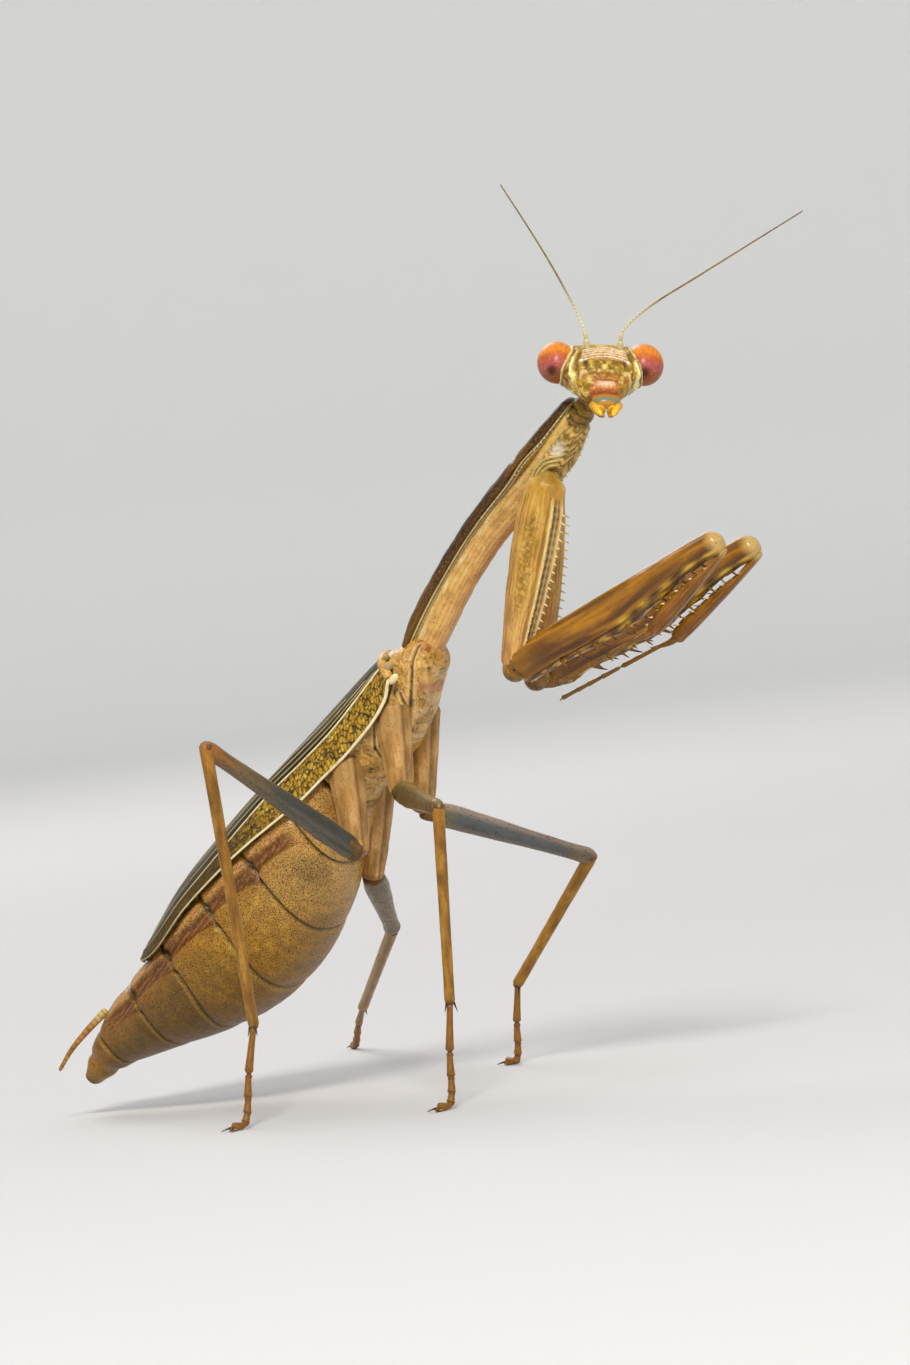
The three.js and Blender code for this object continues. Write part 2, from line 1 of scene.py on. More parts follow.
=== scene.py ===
import json
import random
from math import asin, copysign, cos, degrees, exp, hypot, pi, radians, sin, sqrt, tau

import bmesh
import bpy
import numpy as np
from mathutils import Matrix, Vector, noise
from mathutils.bvhtree import BVHTree


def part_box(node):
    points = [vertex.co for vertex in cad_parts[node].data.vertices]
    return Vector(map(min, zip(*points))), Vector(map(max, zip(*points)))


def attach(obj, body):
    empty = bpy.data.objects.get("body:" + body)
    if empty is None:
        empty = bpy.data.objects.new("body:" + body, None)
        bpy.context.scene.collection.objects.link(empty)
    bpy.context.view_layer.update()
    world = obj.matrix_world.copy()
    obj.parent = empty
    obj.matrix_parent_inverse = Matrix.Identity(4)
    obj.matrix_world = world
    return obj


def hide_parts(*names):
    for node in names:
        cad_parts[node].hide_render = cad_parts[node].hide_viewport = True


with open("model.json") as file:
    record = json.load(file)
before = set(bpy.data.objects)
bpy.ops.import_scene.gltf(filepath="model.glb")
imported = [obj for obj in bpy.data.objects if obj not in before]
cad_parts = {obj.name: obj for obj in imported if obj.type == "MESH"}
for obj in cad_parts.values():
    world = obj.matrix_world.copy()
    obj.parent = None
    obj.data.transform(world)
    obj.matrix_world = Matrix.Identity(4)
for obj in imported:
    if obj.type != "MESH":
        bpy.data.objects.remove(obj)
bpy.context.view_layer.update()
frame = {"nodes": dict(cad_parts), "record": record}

# A praying mantis as a museum model. Shapes are worked in millimetres and turned into metres when a
# piece is finished. A piece's mesh carries three notes for its finish: "lay", its place on the part in
# millimetres, "paint", three shares of accent colour, and "tint", its colour where it has one. On some
# pieces the paint and the tint also hold painted shade and painted highlights.

MM = 0.001
UP = Vector((0, 0, 1))
LEFT = Vector((0, 1, 0))
SIDES = ((-1, "right"), (1, "left"))
random.seed(7)


# ---------------------------------------------------------------- measuring the frame
def solid(*names):
    """The points of some frame nodes in millimetres, and a tree to cast rays at them."""
    shape = bmesh.new()
    for name in names:
        shape.from_mesh(frame["nodes"][name].data)
    bmesh.ops.scale(shape, vec=Vector((1, 1, 1)) / MM, verts=shape.verts)
    bmesh.ops.remove_doubles(shape, verts=shape.verts, dist=0.001)
    points = [vert.co.copy() for vert in shape.verts]
    tree = BVHTree.FromBMesh(shape)
    shape.free()
    return points, tree


def middle(points):
    return sum(points, Vector()) / len(points)


def node_middle(name):
    low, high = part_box(name)
    return (low + high) / 2 / MM


def far_end(name, near, depth=0.25):
    """The middle of the end of a long node that lies away from a point."""
    points, _ = solid(name)
    centre = middle(points)
    spread = np.array([p - centre for p in points])
    way = Vector(np.linalg.svd(spread, full_matrices=False)[2][0])
    if (centre - Vector(near)).dot(way) < 0:
        way.negate()
    reach = max(p.dot(way) for p in points)
    return middle([p for p in points if p.dot(way) > reach - depth])


def smooth_read(rows, place):
    """Reads rows of [place, value...] on a smooth curve."""
    last = len(rows) - 1
    i = 0
    while i < last - 1 and place > rows[i + 1][0]:
        i += 1
    a, b = rows[i], rows[i + 1]
    before, after = rows[max(0, i - 1)], rows[min(last, i + 2)]
    span = b[0] - a[0]
    t = min(1.0, max(0.0, (place - a[0]) / span))
    ease = t * t * (3 - 2 * t)
    values = []
    for k in range(1, len(a)):
        slope_in = (b[k] - before[k]) / (b[0] - before[0])
        slope_out = (after[k] - a[k]) / (after[0] - a[0])
        bend = slope_in * (1 - t) - slope_out * t
        values.append(a[k] * (1 - ease) + b[k] * ease + span * t * (1 - t) * bend)
    return values


def signed_power(value, power):
    return copysign(abs(value) ** power, value)


def bump(value, centre, width):
    """A smooth hump of height one."""
    return exp(-((value - centre) / width) ** 2)


def step(value, low, high):
    t = min(1.0, max(0.0, (value - low) / (high - low)))
    return t * t * (3 - 2 * t)


def ripple(x, y, z):
    """Smooth noise at a place."""
    return noise.noise(Vector((x, y, z)))


def cloudy(x, y, z, octaves):
    """Noise with finer and finer detail at a place."""
    return noise.fractal(Vector((x, y, z)), 1.0, 2.0, octaves)


def over(tone, share, code):
    """A tone with a share of another colour laid over it."""
    return tone.lerp(Vector(colour(code)[:3]), min(1.0, max(0.0, share)))


def layered(base, *layers):
    """A colour built up in layers of (share, colour)."""
    tone = Vector(colour(base)[:3])
    for share, code in layers:
        tone = over(tone, share, code)
    return tone


class Profile:
    """The centre line and the size of a long solid, read from its frame nodes."""

    def __init__(self, names, start, end, up, places, widest=0.5):
        self.start, self.end, self.widest = Vector(start), Vector(end), widest
        self.length = (self.end - self.start).length
        self.along = (self.end - self.start).normalized()
        self.up = (up - self.along * up.dot(self.along)).normalized()
        self.side = self.along.cross(self.up)
        points, tree = solid(*names)
        self.rows = [row for row in (self.section(points, tree, place) for place in places) if row]

    def section(self, points, tree, place):
        target = place * self.length
        near = sorted(points, key=lambda p: abs((p - self.start).dot(self.along) - target))[:16]
        centre = middle(near)
        centre += self.along * (target - (centre - self.start).dot(self.along))
        for _ in range(3):
            reach = []
            for ray in (self.up, -self.up, self.side, -self.side):
                hit = tree.ray_cast(centre, ray)[0]
                if hit is None:
                    return None
                reach.append((hit - centre).length)
            centre = centre + self.up * (reach[0] - reach[1]) / 2 + self.side * (reach[2] - reach[3]) / 2
        return [place, *centre, (reach[0] + reach[1]) / 2, (reach[2] + reach[3]) / 2]

    def carry_on(self, place, tall, wide):
        """Take the centre line straight on, out to a place with its own size."""
        near, far = (self.rows[0], self.rows[-1]) if place < 0.5 else (self.rows[-1], self.rows[0])
        way = (Vector(near[1:4]) - Vector(far[1:4])) / (near[0] - far[0])
        row = [place, *(Vector(near[1:4]) + way * (place - near[0])), tall, wide]
        self.rows.insert(0 if place < 0.5 else len(self.rows), row)

    def read(self, place):
        values = smooth_read(self.rows, place)
        beyond = place - min(self.rows[-1][0], max(self.rows[0][0], place))
        return Vector(values[:3]) + self.along * beyond * self.length, values[3], values[4]

    def point(self, place, angle, grow=0.0, square=1.0, rim=1.0):
        """A point round the section, off the surface by grow."""
        centre, tall, wide = self.read(place)
        rise, across = sin(angle), cos(angle)
        above = 2 * tall * self.widest
        height = above if rise > 0 else 2 * tall - above
        lift = tall - above
        return (
            centre
            + self.up * (rim * (height + grow) * signed_power(rise, square) + lift)
            + self.side * rim * (wide + grow) * signed_power(across, square)
        )


# ---------------------------------------------------------------- making shapes
NOTES = ("lay", "paint", "tint")
BARE = (0, 0, 0)  # no accents


def blank():
    shape = bmesh.new()
    for name in NOTES:
        shape.verts.layers.float_vector.new(name)
    return shape


def note_layers(shape):
    return [shape.verts.layers.float_vector[name] for name in NOTES]


def cover(verts, material):
    """Gives the faces of new points a material."""
    for face in {face for vert in verts for face in vert.link_faces}:
        face.material_index = material
        face.smooth = True


def wrapped(shape, rings, sides, place, material=0):
    """A closed tube: place(t, angle) gives its point, its notes and perhaps a tint."""
    made = bmesh.ops.create_grid(shape, x_segments=rings, y_segments=sides, size=1.0)["verts"]
    lay, paint, tint = note_layers(shape)
    for vert in made:
        t, angle = (vert.co.x + 1) / 2, pi * vert.co.y
        vert.co, vert[lay], vert[paint], *tone = place(min(1.0, max(0.0, t)), angle)
        if tone:
            vert[tint] = tone[0]
    cover(made, material)
    bmesh.ops.remove_doubles(shape, verts=made, dist=0.0002)


def curve_through(points):
    """A function along a smooth curve through points, by its share of the length."""
    points = [Vector(p) for p in points]
    steps = [0.0]
    for a, b in zip(points, points[1:]):
        steps.append(steps[-1] + (b - a).length)
    rows = [[s / steps[-1], *p] for s, p in zip(steps, points)]
    return lambda t: Vector(smooth_read(rows, t))


def tube(
    shape, route, radius, rings=12, sides=8, material=0, hint=UP, paint=BARE, tint=None,
):
    """A tube along a route; radius, paint and tint may be functions of the share of the length."""
    def place(t, angle):
        tangent = (route(min(1, t + 0.01)) - route(max(0, t - 0.01))).normalized()
        across = tangent.cross(hint)
        across = across.normalized() if across.length > 1e-6 else tangent.orthogonal().normalized()
        upright = across.cross(tangent)
        r = radius(t) if callable(radius) else radius
        rim = 0.0 if t in (0.0, 1.0) else 1.0
        point = route(t) + (across * cos(angle) + upright * sin(angle)) * r * rim
        shares = paint(t) if callable(paint) else paint
        tone = (tint(t),) if tint else ()
        return point, (t * 10, cos(angle), sin(angle)), shares, *tone
    wrapped(shape, rings, sides, place, material)


def cone(shape, root, tip, radius, sides, material, blunt):
    """A straight spine from its root to its tip."""
    along = tip - root
    turn = along.to_track_quat("Z", "Y").to_matrix().to_4x4()
    made = bmesh.ops.create_cone(
        shape, cap_ends=True, segments=sides, radius1=radius, radius2=radius * blunt,
        depth=along.length, matrix=Matrix.Translation((root + tip) / 2) @ turn,
    )["verts"]
    lay, _, _ = note_layers(shape)
    for vert in made:
        vert[lay] = (0, 0, (vert.co - root).length)
    cover(made, material)


def ball(shape, centre, size, axes=None, material=0, detail=2, shares=BARE):
    """A small ball, stretched along its three axes."""
    axes = axes or (Vector((1, 0, 0)), Vector((0, 1, 0)), Vector((0, 0, 1)))
    turn = Matrix([axis * s for axis, s in zip(axes, size)]).transposed().to_4x4()
    made = bmesh.ops.create_icosphere(
        shape, subdivisions=detail, radius=1.0, matrix=Matrix.Translation(centre) @ turn,
    )["verts"]
    lay, paint, _ = note_layers(shape)
    for vert in made:
        vert[lay], vert[paint] = vert.co - centre, shares
    cover(made, material)


def finished(name, shape, materials, slot, *nodes):
    """Turns a shape into a finished piece that rides on the model."""
    bmesh.ops.recalc_face_normals(shape, faces=shape.faces)
    bmesh.ops.scale(shape, vec=(MM, MM, MM), verts=shape.verts)
    mesh = bpy.data.meshes.new(name)
    shape.to_mesh(mesh)
    shape.free()
    for material in materials:
        mesh.materials.append(material)
    piece = bpy.data.objects.new(name, mesh)
    bpy.context.scene.collection.objects.link(piece)
    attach(piece, "root")
    if nodes:
        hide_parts(*nodes)
    return piece


# ---------------------------------------------------------------- finishes
DEPTH = (1.15, 1.16, 1.4)  # for red, green and blue; above 1 it is deeper than its name
FLECK_SCALE, FLECK_SHARE = 5.5, 0.38


def colour(code):
    """A colour from its usual six-digit name, deepened a little for the soft light."""
    parts = [int(code[i:i + 2], 16) / 255 for i in (0, 2, 4)]
    linear = [p / 12.92 if p <= 0.04045 else ((p + 0.055) / 1.055) ** 2.4 for p in parts]
    return (*(part ** depth for part, depth in zip(linear, DEPTH)), 1.0)


class Board:
    """Places and links the nodes of one shader tree."""

    def __init__(self, tree):
        self.tree = tree

    def add(self, kind, inputs=None, **settings):
        node = self.tree.nodes.new(kind)
        for key, value in settings.items():
            setattr(node, key, value)  # a group's tree comes before its sockets
        for key, value in (inputs or {}).items():
            if isinstance(value, bpy.types.NodeSocket):
                self.tree.links.new(value, node.inputs[key])
            else:
                node.inputs[key].default_value = value
        return node

    def math(self, operation, a, b=0.0, clamp=False):
        node = self.add("ShaderNodeMath", {0: a, 1: b}, operation=operation, use_clamp=clamp)
        return node.outputs[0]

    def spread(self, value, low, high, to_low=0.0, to_high=1.0):
        inputs = {"Value": value, "From Min": low, "From Max": high, "To Min": to_low, "To Max": to_high}
        return self.add("ShaderNodeMapRange", inputs, interpolation_type="SMOOTHSTEP").outputs[0]

    def noise(self, vector, scale, detail=3.0, rough=0.55):
        inputs = {"Vector": vector, "Scale": scale, "Detail": detail, "Roughness": rough}
        return self.add("ShaderNodeTexNoise", inputs).outputs["Fac"]

    def mix(self, share, a, b, blend="MIX"):
        node = self.add("ShaderNodeMix", {0: share, 6: a, 7: b}, data_type="RGBA", blend_type=blend)
        return node.outputs[2]


def shared_group(name, inputs, outputs, build):
    """A node group with named inputs and outputs; build(board, inlet, outlet) fills it."""
    tree = bpy.data.node_groups.new(name, "ShaderNodeTree")
    for label, kind in inputs:
        tree.interface.new_socket(label, in_out="INPUT", socket_type=kind)
    for label, kind in outputs:
        tree.interface.new_socket(label, in_out="OUTPUT", socket_type=kind)
    board = Board(tree)
    inlet = board.add("NodeGroupInput").outputs
    outlet = board.add("NodeGroupOutput").inputs
    build(board, inlet, outlet)
    return tree


def build_mottle(board, inlet, outlet):
    """Soft patches of three tones."""
    broad = board.noise(inlet["Vector"], inlet["Scale"], 4.0, 0.6)
    fine = board.noise(inlet["Vector"], board.math("MULTIPLY", inlet["Scale"], 5.3), 3.0, 0.6)
    light = board.math("MULTIPLY", board.spread(broad, 0.5, 0.68), board.spread(fine, 0.35, 0.65))
    deep = board.math("MULTIPLY", board.spread(broad, 0.5, 0.32), board.spread(fine, 0.65, 0.4))
    tone = board.mix(light, inlet["Base"], inlet["Light"])
    board.tree.links.new(board.mix(deep, tone, inlet["Deep"]), outlet["Color"])


def build_dots(board, inlet, outlet):
    """Scattered round dots, some left out."""
    cell = board.add("ShaderNodeTexVoronoi", {"Vector": inlet["Vector"], "Scale": inlet["Scale"]})
    lot = board.add("ShaderNodeSeparateColor", {0: cell.outputs["Color"]})
    size = board.math("MULTIPLY", inlet["Size"], board.spread(lot.outputs[1], 0.0, 1.0, 0.55, 1.2))
    inside = board.math("SUBTRACT", size, cell.outputs["Distance"])
    dot = board.spread(inside, 0.0, 0.1)
    kept = board.math("LESS_THAN", lot.outputs[0], inlet["Share"])
    board.tree.links.new(board.math("MULTIPLY", dot, kept), outlet["Mask"])


def build_creases(board, inlet, outlet):
    """Thin wandering lines between plates and wrinkles."""
    drift = board.add("ShaderNodeTexNoise", {"Vector": inlet["Vector"], "Scale": 1.3, "Detail": 2.0})
    push = board.add("ShaderNodeVectorMath", {0: drift.outputs["Color"], "Scale": 0.55}, operation="SCALE")
    warped = board.add("ShaderNodeVectorMath", {0: inlet["Vector"], 1: push.outputs[0]}, operation="ADD")
    cell = board.add(
        "ShaderNodeTexVoronoi", {"Vector": warped.outputs[0], "Scale": inlet["Scale"]},
        feature="DISTANCE_TO_EDGE",
    )
    edge = board.math("SUBTRACT", inlet["Width"], cell.outputs["Distance"])
    line = board.math("DIVIDE", edge, inlet["Width"], clamp=True)
    board.tree.links.new(line, outlet["Mask"])


def build_grain(board, inlet, outlet):
    """The fine pebbled relief of a shell."""
    pebble = board.add("ShaderNodeTexVoronoi", {"Vector": inlet["Vector"], "Scale": inlet["Scale"]},
                       feature="SMOOTH_F1")
    swell = board.noise(inlet["Vector"], board.math("MULTIPLY", inlet["Scale"], 0.22), 5.0, 0.65)
    low = board.math("MULTIPLY", pebble.outputs["Distance"], -0.35)
    board.tree.links.new(board.math("ADD", low, swell), outlet["Height"])


VECTOR, NUMBER, COLOUR = "NodeSocketVector", "NodeSocketFloat", "NodeSocketColor"
MOTTLE = shared_group(
    "mottled tones",
    [("Vector", VECTOR), ("Scale", NUMBER), ("Base", COLOUR), ("Light", COLOUR), ("Deep", COLOUR)],
    [("Color", COLOUR)], build_mottle)
DOTS = shared_group(
    "scattered dots",
    [("Vector", VECTOR), ("Scale", NUMBER), ("Size", NUMBER), ("Share", NUMBER)],
    [("Mask", NUMBER)], build_dots)
CREASES = shared_group(
    "fine creases", [("Vector", VECTOR), ("Scale", NUMBER), ("Width", NUMBER)],
    [("Mask", NUMBER)], build_creases)
GRAIN = shared_group(
    "shell grain", [("Vector", VECTOR), ("Scale", NUMBER)], [("Height", NUMBER)], build_grain)


def shell_finish(
    name, base, light, deep, mottle=0.7, dots=None, creases=None, accents=(), rough=0.45,
    coat=0.0, relief=0.35, grain=9.0, follow=False, stretch=(1, 1, 1), bleed=0.0, tinted=0.0,
    flecked=FLECK_SHARE,
):
    """A shell, skin or vein: mottled tones, dots, creases and accents where the piece is painted."""
    material = bpy.data.materials.new(name)
    material.use_nodes = True
    board = Board(material.node_tree)
    shader = material.node_tree.nodes["Principled BSDF"]
    if follow:
        source = board.add("ShaderNodeAttribute", attribute_name="lay").outputs["Vector"]
        size = Vector(stretch)
    else:
        source = board.add("ShaderNodeTexCoord").outputs["Object"]
        size = Vector(stretch) / MM
    where = board.add("ShaderNodeVectorMath", {0: source, 1: size}, operation="MULTIPLY").outputs[0]

    def placed(tree, **inputs):
        named = {key.capitalize(): value for key, value in inputs.items()}
        return board.add("ShaderNodeGroup", {"Vector": where, **named}, node_tree=tree).outputs[0]

    tone = placed(MOTTLE, scale=mottle, base=colour(base), light=colour(light), deep=colour(deep))
    height = placed(GRAIN, scale=grain)
    if tinted:
        tint = board.add("ShaderNodeAttribute", attribute_name="tint").outputs["Color"]
        given = board.add("ShaderNodeVectorMath", {0: tint}, operation="LENGTH").outputs["Value"]
        share = board.math("MULTIPLY", board.math("GREATER_THAN", given, 0.001), tinted)
        tone = board.mix(share, tone, tint)
    fleck = board.spread(board.noise(where, FLECK_SCALE, 3.0, 0.7), 0.5, 0.7)
    tone = board.mix(board.math("MULTIPLY", fleck, flecked), tone, colour(deep))
    if dots:
        scale, dot_size, share, dot_colour = dots
        mask = placed(DOTS, scale=scale, size=dot_size, share=share)
        tone = board.mix(mask, tone, colour(dot_colour))
        height = board.math("SUBTRACT", height, board.math("MULTIPLY", mask, 0.4))
    if creases:
        scale, width, crease_colour, strength = creases
        mask = placed(CREASES, scale=scale, width=width)
        tone = board.mix(board.math("MULTIPLY", mask, strength), tone, colour(crease_colour))
        height = board.math("SUBTRACT", height, board.math("MULTIPLY", mask, 0.9))
    if accents:
        painted = board.add("ShaderNodeAttribute", attribute_name="paint").outputs["Vector"]
        shares = board.add("ShaderNodeSeparateXYZ", {0: painted}).outputs
        for share, accent in zip(shares, accents):
            if accent:
                tone = board.mix(board.math("MULTIPLY", share, 1.0, clamp=True), tone, colour(accent))
    lump = board.add("ShaderNodeBump", {"Strength": relief, "Distance": 0.06 * MM, "Height": height})
    board.tree.links.new(tone, shader.inputs["Base Color"])
    board.tree.links.new(lump.outputs[0], shader.inputs["Normal"])
    shine = board.spread(board.noise(where, mottle * 4, 2.0), 0.3, 0.7, rough - 0.07, rough + 0.09)
    board.tree.links.new(shine, shader.inputs["Roughness"])
    shader.inputs["Specular IOR Level"].default_value = 0.35
    shader.inputs["Coat Weight"].default_value = coat
    shader.inputs["Coat Roughness"].default_value = 0.18
    if bleed:
        shader.inputs["Subsurface Weight"].default_value = bleed
        shader.inputs["Subsurface Scale"].default_value = 0.5 * MM
        shader.inputs["Subsurface Radius"].default_value = (1.0, 0.5, 0.25)
    return material


# ---------------------------------------------------------------- the mantis's own finishes
COXA_SKIN = shell_finish(
    "coxa skin", "c29a52", "e6c796", "7c5a28", 0.6, dots=(4.0, 0.2, 0.3, "4a3014"), tinted=0.88,
    rough=0.34, relief=0.35, follow=True, stretch=(0.45, 1.5, 1.5), bleed=0.05)
PLAIN_COXA_SKIN = shell_finish(
    "plain coxa skin", "bd9460", "dcbc8a", "7c5a30", 0.6, dots=(8.0, 0.26, 0.6, "5c4224"), tinted=0.85,
    rough=0.36, relief=0.35, follow=True, stretch=(0.8, 1.2, 1.2), bleed=0.06)
FEMUR_SKIN = shell_finish(
    "femur skin", "75757a", "94949c", "4a463e", 0.9, dots=(7.0, 0.3, 0.6, "3c3834"), tinted=0.85,
    rough=0.36, relief=0.3, follow=True, stretch=(0.5, 1.3, 1.3))
SHIN_SKIN = shell_finish(
    "shin skin", "a5783a", "c39a58", "5c3e18", 0.8, dots=(5.0, 0.2, 0.5, "4a3012"), tinted=0.7,
    accents=(None, "7c5024", None), rough=0.36, relief=0.3, follow=True, stretch=(0.5, 1.4, 1.4))
GRASPER_SKIN = shell_finish(
    "grasper skin", "845414", "bc8424", "4c2c08", 0.55, dots=(4.0, 0.14, 0.3, "4c2808"),
    accents=("f0bb3c", "2c1508", "f2dcae"), rough=0.27, coat=0.25, relief=0.3, follow=True,
    stretch=(0.28, 1.2, 1.2), bleed=0.06, tinted=0.75, flecked=0.3)
AMBER_HORN = shell_finish(
    "amber horn", "8c6020", "b4843c", "5c3c10", 1.5, accents=(None, None, "1c0c04"), rough=0.25, coat=0.3,
    relief=0.15)
JOINT_SKIN = shell_finish(
    "joint skin", "7a5a34", "a07c4c", "4e341a", 1.5, creases=(2.6, 0.04, "4a2e1c", 0.3),
    rough=0.5, relief=0.5, bleed=0.2)
HORN = shell_finish(
    "horn", "4a2610", "7a4a20", "1c0e06", 1.5, accents=(None, "e8c27a", "140a05"), rough=0.25, coat=0.3,
    relief=0.15)
PALE_HORN = shell_finish(
    "pale horn", "ecd9b4", "f7ecd2", "c79a62", 1.5, accents=(None, None, "3a2010"), rough=0.3, coat=0.2,
    relief=0.15)
HIP_SKIN = shell_finish(
    "hip skin", "84602c", "b48a3c", "48300e", 0.9, dots=(2.2, 0.3, 0.5, "2c1406"), rough=0.28, coat=0.2,
    relief=0.5)
BELLY_SKIN = shell_finish(
    "belly skin", "c8993f", "e2b966", "a67c30", 0.8, dots=(14.0, 0.48, 1.0, "442c08"), tinted=0.88,
    rough=0.36, coat=0.05, relief=0.5, grain=7.0, follow=True, flecked=0.45)
CERCUS_SKIN = shell_finish(
    "cercus skin", "b08050", "cf9c68", "6e4420", 1.2, accents=("d0b888", None, "6a4220"), rough=0.36,
    relief=0.3, bleed=0.05)
THORAX_SKIN = shell_finish(
    "thorax skin", "d0a468", "e8c890", "8c683c", 0.9, dots=(5.0, 0.2, 0.5, "4a3214"),
    accents=("c07a62", "3c260e", "f0e4c8"), rough=0.36, relief=0.5, bleed=0.05)
WING_SKIN = shell_finish(
    "wing skin", "c49c34", "f4dc7c", "8c6a18", 1.1, accents=("180e02", "352a12", "a89468"), rough=0.42,
    coat=0.05, relief=0.3, follow=True)
VEIN_SKIN = shell_finish(
    "vein skin", "efe2c4", "fbf3de", "cdb78a", 1.2, accents=(None, "9c8558", None), rough=0.35, coat=0.15,
    relief=0.15)
PRONOTUM_SKIN = shell_finish(
    "pronotum skin", "6d4a28", "8a6337", "38220f", 0.9, tinted=0.88, rough=0.36, relief=0.5)
CHEST_SKIN = shell_finish(
    "chest skin", "c7a066", "ead0a2", "7c5c2c", 0.9, tinted=0.88, dots=(5.0, 0.2, 0.4, "4a3418"),
    rough=0.34, relief=0.45, bleed=0.05)
# The neck is a darker tan than the chest, partly painted shade under the head; its third accent is painted
# shade in the troughs of its folds.
NECK_SKIN = shell_finish(
    "neck skin", "a08048", "c8a868", "6c5024", 1.2, creases=(2.0, 0.03, "2c1c0c", 0.3),
    accents=(None, None, "3c2210"), rough=0.42, relief=0.5)
FACE_SKIN = shell_finish(
    "face skin", "c9a346", "ead79a", "6a4c14", 1.6, tinted=0.9, rough=0.34, coat=0.12,
    relief=0.4, grain=12.0, bleed=0.05, flecked=0.5)
OCELLUS = shell_finish(
    "small eye", "e8c878", "f6e2a8", "b88a3a", 3.0, rough=0.12, coat=0.8, relief=0.03)
EYE_SKIN = shell_finish(
    "eye skin", "c8642c", "e89a4a", "7c2c38", 2.2, tinted=0.9, rough=0.42, coat=0.12, relief=0.2,
    grain=16.0, bleed=0.1, flecked=0.4)
MOUTH_SKIN = shell_finish(
    "mouth skin", "d9a02c", "f0c45a", "7c4a10", 2.0, tinted=0.88, rough=0.27, coat=0.3, relief=0.3,
    grain=10.0, bleed=0.08, flecked=0.3)
FEELER_SKIN = shell_finish(
    "feeler skin", "8f7850", "b59c6c", "6a5433", 1.5, accents=("ede0bc", "4f3d24", None), rough=0.45,
    relief=0.2)

# ---------------------------------------------------------------- limbs
LIMB_PLACES = (0.02, 0.06, 0.12, 0.2, 0.3, 0.4, 0.5, 0.6, 0.7, 0.8, 0.88, 0.94, 0.98)
LOWER_PLACES = (0.5, 0.62, 0.75, 0.86, 0.95)  # clear of where the thorax cuts a coxa
SHIN_PLACES = (0.22, 0.35, 0.5, 0.65, 0.8, 0.9)
COXA_TOP, SHIN_TOP = (1.3, 1.12), (0.46, 0.4)  # half the height and the width where they start
# From the hip to the knee, then along the edges.
FEMUR_TONES = {
    "mid_right": ("5c4a2c", "6c5430", "7c6034", "6e4c28", "a88c60"),
    "mid_left": ("7c7450", "5c6076", "66687c", "7c6c68", "bca4a0"),
    "hind_right": ("30323e", "484a5a", "806850", "a86c20", "8c8078"),
    "hind_left": ("54422a", "70582e", "7c6034", "6c4a22", "9c8050"),
}
COXA_END, FEMUR_END, TIBIA_END = 0.35, 0.45, 0.2  # how far each solid runs past its joint
FOREARM_ENDS = (0.4, 0.35)
CLAW_LENGTH = 1.7
FOOT_RUN, FOOT_RADIUS = 1.1, 0.33


def dome(distance, radius):
    """How wide a round end is at a distance from its tip."""
    gap = 1 - min(1.0, max(0.0, distance / radius))
    return sqrt(max(0.0, 1 - gap * gap))


def capped(t, near, far):
    """How wide a piece is along its length when both its ends are round."""
    return dome(t, near) * dome(1 - t, far)


def rounded(t):
    """A share of the length, drawn closer at both ends."""
    return 0.5 - 0.5 * cos(pi * t)


def limb(shape, profile, rings, sides, look, square=1.0, ends=(0.0, 1.0), round_ends=(0.5, 0.5)):
    """A limb's skin; look(place, angle) gives its relief and tint."""
    first, last = ends

    def place(t, angle):
        along = first + (last - first) * (t - sin(2 * pi * t) / (4 * pi))
        near, far = (along - first) * profile.length, (last - along) * profile.length
        grow, tone = look(along, angle)
        rim = dome(near, round_ends[0]) * dome(far, round_ends[1])
        _, tall, wide = profile.read(along)
        lay = (along * profile.length, wide * cos(angle), tall * sin(angle))
        return profile.point(along, angle, grow, square, rim), lay, BARE, tone

    wrapped(shape, rings, sides, place)


def back_off(near, far, distance):
    return far - (far - near).normalized() * distance


def leg_joints(name, towards, ends):
    """The root, hip and knee of a leg, from its solids."""
    coxa_tip = far_end(f"coxa_{name}", towards)
    root = far_end(f"coxa_{name}", coxa_tip)
    hip = back_off(root, coxa_tip, ends[0])
    knee = back_off(hip, far_end(f"femur_{name}", hip), ends[1])
    return root, hip, knee


def foot_place(name):
    mounts = {mount["name"]: mount["pos_m"] for mount in frame["record"]["mounts"]}
    return Vector(mounts[f"{name}_foot"]) / MM


def claw(shape, root, way, bend, length, radius, material, rings=8):
    """A curved claw; bend is the side that its point turns to."""
    def route(t):
        return root + way * length * t + bend * length * 0.45 * t * t
    tube(shape, route, lambda t: radius * (1 - 0.85 * t) * dome(t, 0.05), rings, 7, material)


def foot(shape, ankle, toe, skin, horn):
    """Five short pieces, a pad and two claws."""
    forward = Vector((toe.x - ankle.x, toe.y - ankle.y, 0)).normalized()
    across = forward.cross(UP)
    heel = toe - forward * FOOT_RUN + UP * (FOOT_RADIUS + 0.1)
    bend = ankle.lerp(heel, 0.55) + UP * 0.25
    tip = toe + UP * (FOOT_RADIUS - 0.04)
    route = curve_through([ankle, bend, heel, tip])
    shares = (0.0, 0.45, 0.64, 0.77, 0.86, 1.0)
    for a, b in zip(shares, shares[1:]):
        def piece_route(t, a=a, b=b):
            return route(a - 0.03 + (b - a + 0.03) * t)
        tube(shape, piece_route, lambda t: FOOT_RADIUS * (0.62 + 0.32 * t ** 2) * capped(t, 0.06, 0.06),
             10, 12, skin, hint=across, paint=(0, 0.5, 0))
        ball(shape, route(b - 0.01) - UP * 0.08, (0.24, 0.24, 0.2), None, skin, 2, (0, 0.9, 0))
    ball(shape, toe - forward * 0.05 + UP * 0.13, (0.3, 0.3, 0.12), None, skin, 2, (0.8, 0, 0))
    for side, _ in SIDES:
        claw(shape, tip + across * side * 0.12 - UP * 0.05, (forward + across * side * 0.5).normalized(),
             -UP * 0.5, 0.75, 0.1, horn)


